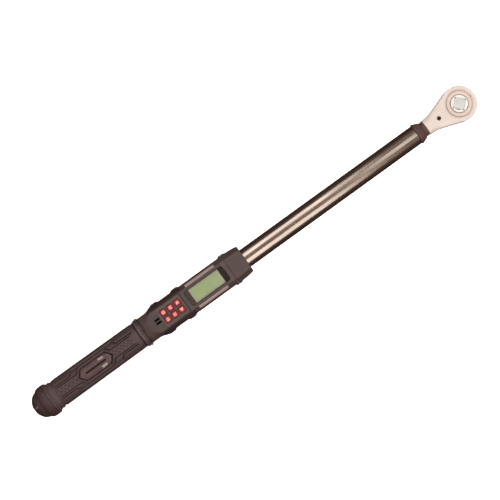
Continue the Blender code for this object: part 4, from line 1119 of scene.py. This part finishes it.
def make_light_bar(name, side):
    """Light-guide bar in the shoulder, with flutes along it."""
    xs = [BAR_X[0], *np.linspace(BAR_X[0] + 0.0002, BAR_X[1] - 0.0002, 30), BAR_X[1]]
    angles = np.linspace(math.atan2(BAR_Y[0], FACE_H), math.atan2(BAR_Y[1], 0.0158), 80)
    share = np.linspace(0, 1, 80)
    base = outline_reach(MAIN, angles)
    flutes = 0.00022 * np.abs(np.sin(share * math.pi * 3))
    rim = 0.0003 * (1 - smooth(np.minimum(share, 1 - share), 0, 0.06))
    outer, inner = [], []
    for x in xs:
        end = 0.0002 if x in BAR_X else 0
        outer.append(around(x, angles, base - 0.00035 + flutes - rim - end))
        inner.append(around(x, angles, base - 0.0018))
    light_bar = patch(name, outer, inner, side=side)
    show(light_bar, "smoked_clear", "wrench_frame", name.replace("_visual", ""), slot="smoked_clear")


def make_keypad():
    low, high = ends("keypad_plate", 2)
    plate = centred(KEYPAD_X, KEYPAD_HALF, 0.0012)
    face = prism("keypad_plate_visual", plate, (0, low), (0, high - 0.0002), (-0.0002, high))
    levels = (0, low - 0.001), (0, high - 0.0003), (0.0004, high + 0.0001), (0.0004, high + 0.001)
    for x, y in KEYS.values():
        cut(face, prism("hole", block(x, y, 0.0039, 0.0039, 0.0012), *levels))
    show(face, "black_plastic", "wrench_frame", "keypad_plate", slot="black_plastic")
    base, top = high - 0.0001, high + 0.00012
    levels = (-0.0004, base), (-0.0004, top), (-0.0009, top), (-0.0009, base)
    rings = [[(x, y, z) for x, y in plate(grow)] for grow, z in levels]
    show(loft("keypad_border", rings, closed=True), "line_grey", "wrench_frame", slot="black_plastic")


def bar(x, y, length, width):
    """A small flat bar for a pictogram, as an outline."""
    corners = ((-length, -width), (length, -width), (length, width), (-length, width))
    return [(x + a / 2, y + b / 2) for a, b in corners]


def arc_strip(x, y, radius, width, start, end, steps=18):
    """A bent bar for a pictogram, between two angles in degrees."""
    angles = np.linspace(math.radians(start), math.radians(end), steps)
    sides = ((radius + width / 2, angles), (radius - width / 2, angles[::-1]))
    return [(x + r * math.cos(a), y + r * math.sin(a)) for r, side in sides for a in side]


def triangle(x, y, size, turn):
    """An arrowhead for a pictogram, with one corner in the direction of turn."""
    angles = [turn + k * TURN / 3 for k in range(3)]
    return [(x + size * math.cos(a), y + size * math.sin(a)) for a in angles]


def glyph(name, x, y):
    """Outlines of a key's plain pictogram. The tool is read with +X to the right."""
    if name == "key_power":
        return [arc_strip(x, y, 0.0016, 0.0010, 125, 415, 24), bar(x, y + 0.0011, 0.0011, 0.0022)]
    if name == "key_mode":
        return [bar(x, y + k * 0.0014, 0.0036, 0.0010) for k in (-1, 0, 1)]
    if name == "key_up":
        return [triangle(x, y - 0.0003, 0.0026, math.pi / 2)]
    if name == "key_memory":
        return [
            rectangle((x - 0.0018, x + 0.0018), (y - 0.0019, y - 0.0002), 0.0003),
            bar(x, y + 0.0008, 0.0030, 0.0009),
            bar(x, y + 0.0020, 0.0022, 0.0008),
        ]
    if name == "key_units":
        return [
            bar(x - 0.0011, y, 0.0011, 0.0037),
            bar(x + 0.0010, y + 0.0010, 0.0015, 0.0014),
            bar(x + 0.0010, y - 0.0011, 0.0015, 0.0014),
        ]
    return [triangle(x, y + 0.0003, 0.0026, -math.pi / 2)]


def make_key(name):
    """Silicone key: flange under the cover, soft-edged cap, crowned top and a pale pictogram."""
    x, y = KEYS[name]
    low = ends(name, 2)[0]
    flange = block(x, y, 0.0045, 0.0045, 0.0008)
    pad = block(x, y, 0.00375, 0.00375, 0.0022)
    crowned = (0, 1.5), (0.3, 1.0), (0.6, 0.6), (0.9, 0.3), (1.2, 0.13), (1.7, 0.04), (2.6, 0.01)
    levels = [(flange, 0, low), (flange, 0, low + 0.0013), (pad, 0, low + 0.0015)]
    levels += [(pad, -less / 1000, KEY_TOP - down / 1000) for less, down in crowned]
    rings = [[(*point, z) for point in outline(grow)] for outline, grow, z in levels]
    show(loft(f"{name}_visual", rings, capped=True), "key_red", name, name, slot="key_red")
    symbols = [prism("glyph", fixed(o), (0, KEY_TOP - 0.0007), (0, KEY_TOP)) for o in glyph(name, x, y)]
    show(merge(f"{name}_mark", *symbols), "glyph_pale", name, slot="white_plastic")


# ---------------------------------------------------------------- handle


def make_ring():
    """Handle ring with two ridges and two grooves."""
    bore = 1000 * (TUBE_RADIUS + GAP)
    profile = profile_mm(
        RING_X[0],
        (0, bore), (0, 17.3), (0.8, 17.6), (1.0, 16.8), (1.6, 16.8), (1.9, 17.8), (2.5, 18.2),
        (3.6, 18.5), (5.0, 18.8), (5.3, 18.1), (5.8, 18.2), (6.1, 19.3), (6.7, 19.8), (7.2, 19.7),
        (7.7, 19.0), (8.0, 17.4), (8.7, 17.4), (9.0, 18.3), (9.6, 17.8), (10.2, 17.3), (10.2, bore),
    )
    made = on_axis("handle_ring_visual", profile, steps=128)
    show(made, "ring_plastic", "wrench_frame", "handle_ring", slot="black_plastic")


HALF_LENGTH = (BADGE_X[1] - BADGE_X[0]) / 2
HALF_WIDTH = 0.0085
POINT = 0.0060
GRIP_RADIUS = 0.0173
GRIP_END_RADIUS = 0.0167


def from_lozenge(u, w):
    """Distance outside the badge's outline, with u along the tool from its middle and w around it."""
    slant = ((np.abs(u) - HALF_LENGTH) * HALF_WIDTH + w * POINT) / math.hypot(HALF_WIDTH, POINT)
    return np.maximum(w - HALF_WIDTH, slant)


def ridge(distance, width):
    """1 on a line and 0 away from it, with soft sides."""
    return 1 - smooth(np.abs(distance), 0.25 * width, width)


def grip_height(x, w):
    """Height of the grip's skin over its base radius. w is the distance around from the middle of
    the top or of the underside."""
    d = from_lozenge(x - BADGE_MIDDLE, w)
    front_block = np.minimum(w - 0.0099, x + 0.5015 + 0.75 * (w - 0.0099))
    rear_block = np.minimum(w - 0.0099, -0.5698 + 0.95 * (w - 0.0099) - x)
    side = np.maximum.reduce([w - 0.0152, front_block, rear_block])
    middle = np.minimum(w - 0.0063, d - 0.0050)
    height = 0.00025 * smooth(side, -0.0002, 0.0006)
    height -= 0.00035 * smooth(middle, -0.0002, 0.0005) * (1 - smooth(side, -0.0004, 0.0))
    in_run = between(x, -0.5925, -0.5890, -0.4838, -0.4813)
    clear_of_ends = between(x, -0.5940, -0.5915, -0.4800, -0.4788)
    height -= 0.00160 * ridge(side + 0.0004, 0.0014) * clear_of_ends
    height += 0.00025 * ridge(side - 0.0015, 0.0011) * clear_of_ends
    height -= 0.00120 * ridge(middle, 0.0012) * in_run * (1 - smooth(side, -0.0022, -0.0012))
    height += 0.00020 * ridge(middle + 0.0015, 0.0008) * in_run
    height += 0.00045 * ridge(d - 0.0027, 0.0012)
    height -= 0.00180 * ridge(d - 0.0008, 0.0014)
    return height


def dimples(x, w_signed):
    """Staggered oval dimples in the strips before and behind the lozenge."""
    depth = np.zeros_like(x)
    for row in range(-1, 2):
        shift = 0.0 if row % 2 else 0.0029
        for start, count, pitch in ((-0.5906, 5, 0.0058), (-0.5094, 5, 0.0056)):
            for k in range(count):
                cx = start + shift + k * pitch
                away = np.hypot((x - cx) / 0.00105, (w_signed - row * 0.0028) / 0.00135)
                depth = np.maximum(depth, 1 - smooth(away, 0.5, 1.2))
    return depth


def make_grip():
    """Grip moulding: bands, blocks, grooves and dimples as heights over a slight taper."""
    start, end = GRIP_X
    count = 300
    angles = np.arange(count) * TURN / count
    folded = np.where(np.cos(angles) >= 0, angles, math.pi - angles)
    sideways = ((folded + math.pi) % TURN - math.pi) * GRIP_RADIUS
    rings = []
    for x in [start, start + 0.0002, *np.arange(start + 0.0005, end - 0.0003, 0.0004), end]:
        column = np.full(count, x)
        height = grip_height(column, np.abs(sideways)) - 0.0007 * dimples(column, sideways)
        if BADGE_X[0] - 0.001 < x < BADGE_X[1] + 0.001:
            outside = from_lozenge(column - BADGE_MIDDLE, np.abs(sideways))
            height = height - 0.0015 * (1 - smooth(outside, 0.0001, 0.0004)) * (np.cos(angles) > 0)
        base = np.interp(x, [start, end], [0.01735, 0.01690])
        fade = between(x, start - 0.0006, start + 0.0014, end - 0.0026, end - 0.0014)
        rings.append(around(x, angles, GRIP_END_RADIUS + (base + height - GRIP_END_RADIUS) * fade))
    grip = loft("grip_visual", rings + bored(angles, end, start), closed=True)
    show(grip, "grip_rubber", "wrench_frame", "grip", slot="grip_rubber", angle=50)


def crown(w):
    """Drop of the badge's face below a round one: nearly flat in the middle, bent beside it."""
    reach = np.linspace(0, HALF_WIDTH, 60)
    slope = np.interp(reach, [0, 0.0038, 0.0060, HALF_WIDTH], [0, -0.04, 0.155, 0.155])
    drop = np.concatenate([[0], np.cumsum((slope[1:] + slope[:-1]) / 2 * np.diff(reach))])
    return np.interp(np.abs(w), reach, drop)


def make_badge():
    """Glossy plate in the lozenge, crowned, dipping at its front, with a plain recessed stripe."""
    across = np.linspace(-HALF_WIDTH, HALF_WIDTH, 80)
    outer, inner = [], []
    for u in np.linspace(-HALF_LENGTH, HALF_LENGTH, 190):
        limit = min(HALF_WIDTH, (HALF_LENGTH - abs(u)) * HALF_WIDTH / POINT)
        w = across * max(limit, 0.00005) / HALF_WIDTH
        x = BADGE_MIDDLE + u
        inside = np.clip(-from_lozenge(np.full_like(w, u), np.abs(w)) / 0.0009, 0, 1)
        edge = 0.0007 * (1 - np.sqrt(np.clip(1 - (1 - inside) ** 2, 0, 1)))
        dip = 0.0009 * smooth(x, -0.5312, -0.5224) + crown(w)
        stripe = 0.00012 * (1 - smooth(np.abs(w), 0.0008, 0.0016))
        stripe = stripe * between(x, -0.5573, -0.5567, -0.5203, -0.5197)
        outer.append(around(x, w / 0.0174, 0.01770 - edge - dip - stripe))
        inner.append(around(x, w / 0.0174, np.full_like(w, 0.0160)))
    badge = patch("grip_badge_visual", outer, inner)
    show(badge, "badge_plastic", "wrench_frame", "grip_badge", slot="badge_plastic", angle=40)


def make_ferrule():
    """Ferrule: bulged behind the cap's joint, with a waist and a low shoulder before the grip."""
    bore, plug = 1000 * (TUBE_RADIUS + GAP), 10.2
    profile = profile_mm(
        CAP_JOINT + GAP,
        (0, plug), (0, 20.0), (0.3, 20.4), (1.4, 20.4), (2.2, 19.7), (3.4, 18.4), (4.4, 17.7),
        (5.2, 17.6), (6.4, 18.0), (7.6, 18.1), (9.0, 17.4),
    )
    profile += profile_mm(FERRULE_X[1], (-1.4, 16.6), (-0.6, 16.5), (0, 16.4), (0, bore))
    profile += profile_mm(TUBE_X[0] - GAP, (0, bore), (0, plug))
    made = on_axis("end_ferrule_visual", profile, steps=128, reach=0.0006)
    show(made, "ferrule_plastic", "wrench_frame", "end_ferrule", slot="black_plastic")


def make_cap():
    """Battery cap: domed end with a coin slot and an index mark, bulged rim and threaded plug."""
    start, end = CAP_X
    profile = profile_mm(
        start,
        (0, 0), (0, 4.0), (0.4, 5.8), (1.2, 8.0), (2.4, 10.2), (4.0, 12.5), (5.4, 14.2),
        (6.6, 15.1), (7.8, 15.8), (9.0, 16.4), (10.4, 17.0), (11.6, 17.4), (12.4, 18.0),
        (13.4, 18.9), (14.8, 19.8), (16.0, 20.1), (16.8, 20.05), (17.6, 20.4),
    )
    profile += profile_mm(CAP_JOINT, (-0.6, 20.5), (0, 20.2), (0, 9.9))
    for x in np.arange(CAP_JOINT + 0.0018, end - THREAD_PITCH, THREAD_PITCH):
        profile += profile_mm(x, (0, 9.9), (0.4, 9.4), (0.8, 9.9))
    profile += profile_mm(end, (-0.6, 9.9), (0, 9.3), (0, 7.9)) + profile_mm(start, (17.6, 7.9), (17.6, 0))
    cap = on_axis("end_cap_visual", profile, steps=128, closed=False, reach=0.0008)
    slot = rectangle((start - 0.01, start + 0.0048), (-0.0012, 0.0012), 0.0003)
    cut(cap, prism("coin_slot", fixed(slot), (0, AXIS_Z - 0.0062), (0, AXIS_Z + 0.0062)))
    show(cap, "cap_rubber", "end_cap", "end_cap", slot="black_rubber")
    rings = []
    for x, radius in ((0.0030, 0.0111), (0.0052, 0.0139), (0.0070, 0.0153)):
        corners = ((0.0002, -0.0006), (0.0018, -0.0006), (0.0018, 0.0002), (0.0002, 0.0002))
        rings.append([(start + x, y, AXIS_Z + radius + h) for y, h in corners])
    show(loft("cap_index_visual", rings, capped=True), "mark_grey", "end_cap")


# ---------------------------------------------------------------- stage


def make_camera():
    """Looks down on the tool from a little behind its middle, turned so that the tool lies on a
    diagonal with the head at the upper right."""
    data = bpy.data.cameras.new("camera")
    camera = placed("camera", data)
    eye = Vector((-0.3367, -0.0004, 2.2))
    target = Vector((-0.30606, 0.00481, AXIS_Z))
    lean = math.radians(35.8616)
    forward = (target - eye).normalized()
    along = Vector((1, 0, 0))
    along = (along - along.dot(forward) * forward).normalized()
    across = Vector((0, 1, 0))
    across = (across - across.dot(forward) * forward - across.dot(along) * along).normalized()
    right = math.cos(lean) * along - math.sin(lean) * across
    up = math.sin(lean) * along + math.cos(lean) * across
    camera.matrix_world = Matrix((right, up, -forward)).transposed().to_4x4()
    camera.location = eye
    data.lens = 129.89
    data.sensor_width = 36
    data.clip_end = 50
    bpy.context.scene.camera = camera


def area_light(name, place, aim, size, strength, colour=(1, 0.97, 0.95), glossy=True):
    """A rectangular light of the same brightness per area for the same strength."""
    data = bpy.data.lights.new(name, "AREA")
    data.shape = "RECTANGLE"
    data.size, data.size_y = size
    data.energy = strength * math.pi * size[0] * size[1]
    data.color = colour
    light = placed(name, data)
    light.location = place
    light.rotation_euler = (Vector(aim) - Vector(place)).to_track_quat("-Z", "X").to_euler()
    light.visible_glossy = glossy
    light.visible_camera = False


def make_floor():
    """Pale floor that the camera sees and the tool doesn't."""
    floor = add("floor", [(-12, -12, 0), (12, -12, 0), (12, 12, 0), (-12, 12, 0)], [(0, 1, 2, 3)])
    paint = bpy.data.materials.new("floor")
    paint.use_nodes = True
    looks = {
        "Base Color": (0.80, 0.80, 0.80, 1),
        "Roughness": 0.9,
        "Specular IOR Level": 0.0,
        "Emission Color": (1, 1, 1, 1),
        "Emission Strength": 1.0,
    }
    for socket, value in looks.items():
        paint.node_tree.nodes["Principled BSDF"].inputs[socket].default_value = value
    floor.data.materials.append(paint)
    floor.visible_glossy = False
    floor.visible_diffuse = False


def make_lights():
    """Two long soft boxes that the tube mirrors, a broad fill and small lights round the head."""
    reach, length, h = 1.25, 0.59, 0.03
    for name, angle, spread in (("box_left", 38.6, 37.0), ("box_right", -42.9, 41.0)):
        a = math.radians(angle)
        width = 2 * reach * math.tan(math.radians(spread / 2))
        place = (-0.215, reach * math.sin(a), h + reach * math.cos(a))
        area_light(name, place, (-0.215, 0, h), (width, length), 1.9, (1.0, 0.90, 0.84))
    area_light("head_box", (0.30, 0, 1.28), (0.10, 0, h), (0.24, 0.80), 1.3, (1, 0.96, 0.93))
    area_light("fill", (-0.3, 0, 2.3), (-0.3, 0, h), (4.5, 4.5), 1.75, glossy=False)
    for name, x, y in (("head_left", 0.0, 0.27), ("head_right", 0.0, -0.27), ("head_front", 0.29, 0.0)):
        area_light(name, (x, y, 0.07), (0, 0, h), (0.12, 0.30), 3.0, glossy=False)


def make_sky():
    """Dim brown surroundings that darken towards the horizon."""
    world = bpy.data.worlds.new("sky")
    bpy.context.scene.world = world
    world.use_nodes = True
    tree = world.node_tree
    place = tree.nodes.new("ShaderNodeTexCoord")
    parts = tree.nodes.new("ShaderNodeSeparateXYZ")
    ramp = tree.nodes.new("ShaderNodeValToRGB")
    elements = ramp.color_ramp.elements
    elements[0].position, elements[0].color = 0.0, (0.066, 0.040, 0.030, 1)
    elements[1].position, elements[1].color = 1.0, (0.34, 0.24, 0.18, 1)
    tree.links.new(place.outputs["Generated"], parts.inputs[0])
    tree.links.new(parts.outputs["Z"], ramp.inputs["Fac"])
    tree.links.new(ramp.outputs["Color"], tree.nodes["Background"].inputs["Color"])


# ---------------------------------------------------------------- the whole


def paint_kept_nodes():
    """CAD nodes that stay as they are get the paint of their material slot."""
    for part in frame["record"]["subparts"]:
        node = frame["nodes"][part["node"]]
        if not node.hide_render:
            node.data.materials.clear()
            node.data.materials.append(PAINT[part["material_slot"]])


make_camera()
make_floor()
make_lights()
make_sky()
make_head()
make_head_fittings()
make_pawl_spring()
make_wheel()
make_square()
make_tube()
make_collar()
make_front_cover()
make_rear_cover()
make_nose()
make_bumper("side_bumper_left_visual", 1)
make_bumper("side_bumper_right_visual", -1)
make_display()
make_light_bar("light_bar_left_visual", 1)
make_light_bar("light_bar_right_visual", -1)
make_keypad()
for key_name in KEYS:
    make_key(key_name)
make_ring()
make_grip()
make_badge()
make_ferrule()
make_cap()
paint_kept_nodes()

bpy.context.scene.view_settings.view_transform = "Standard"
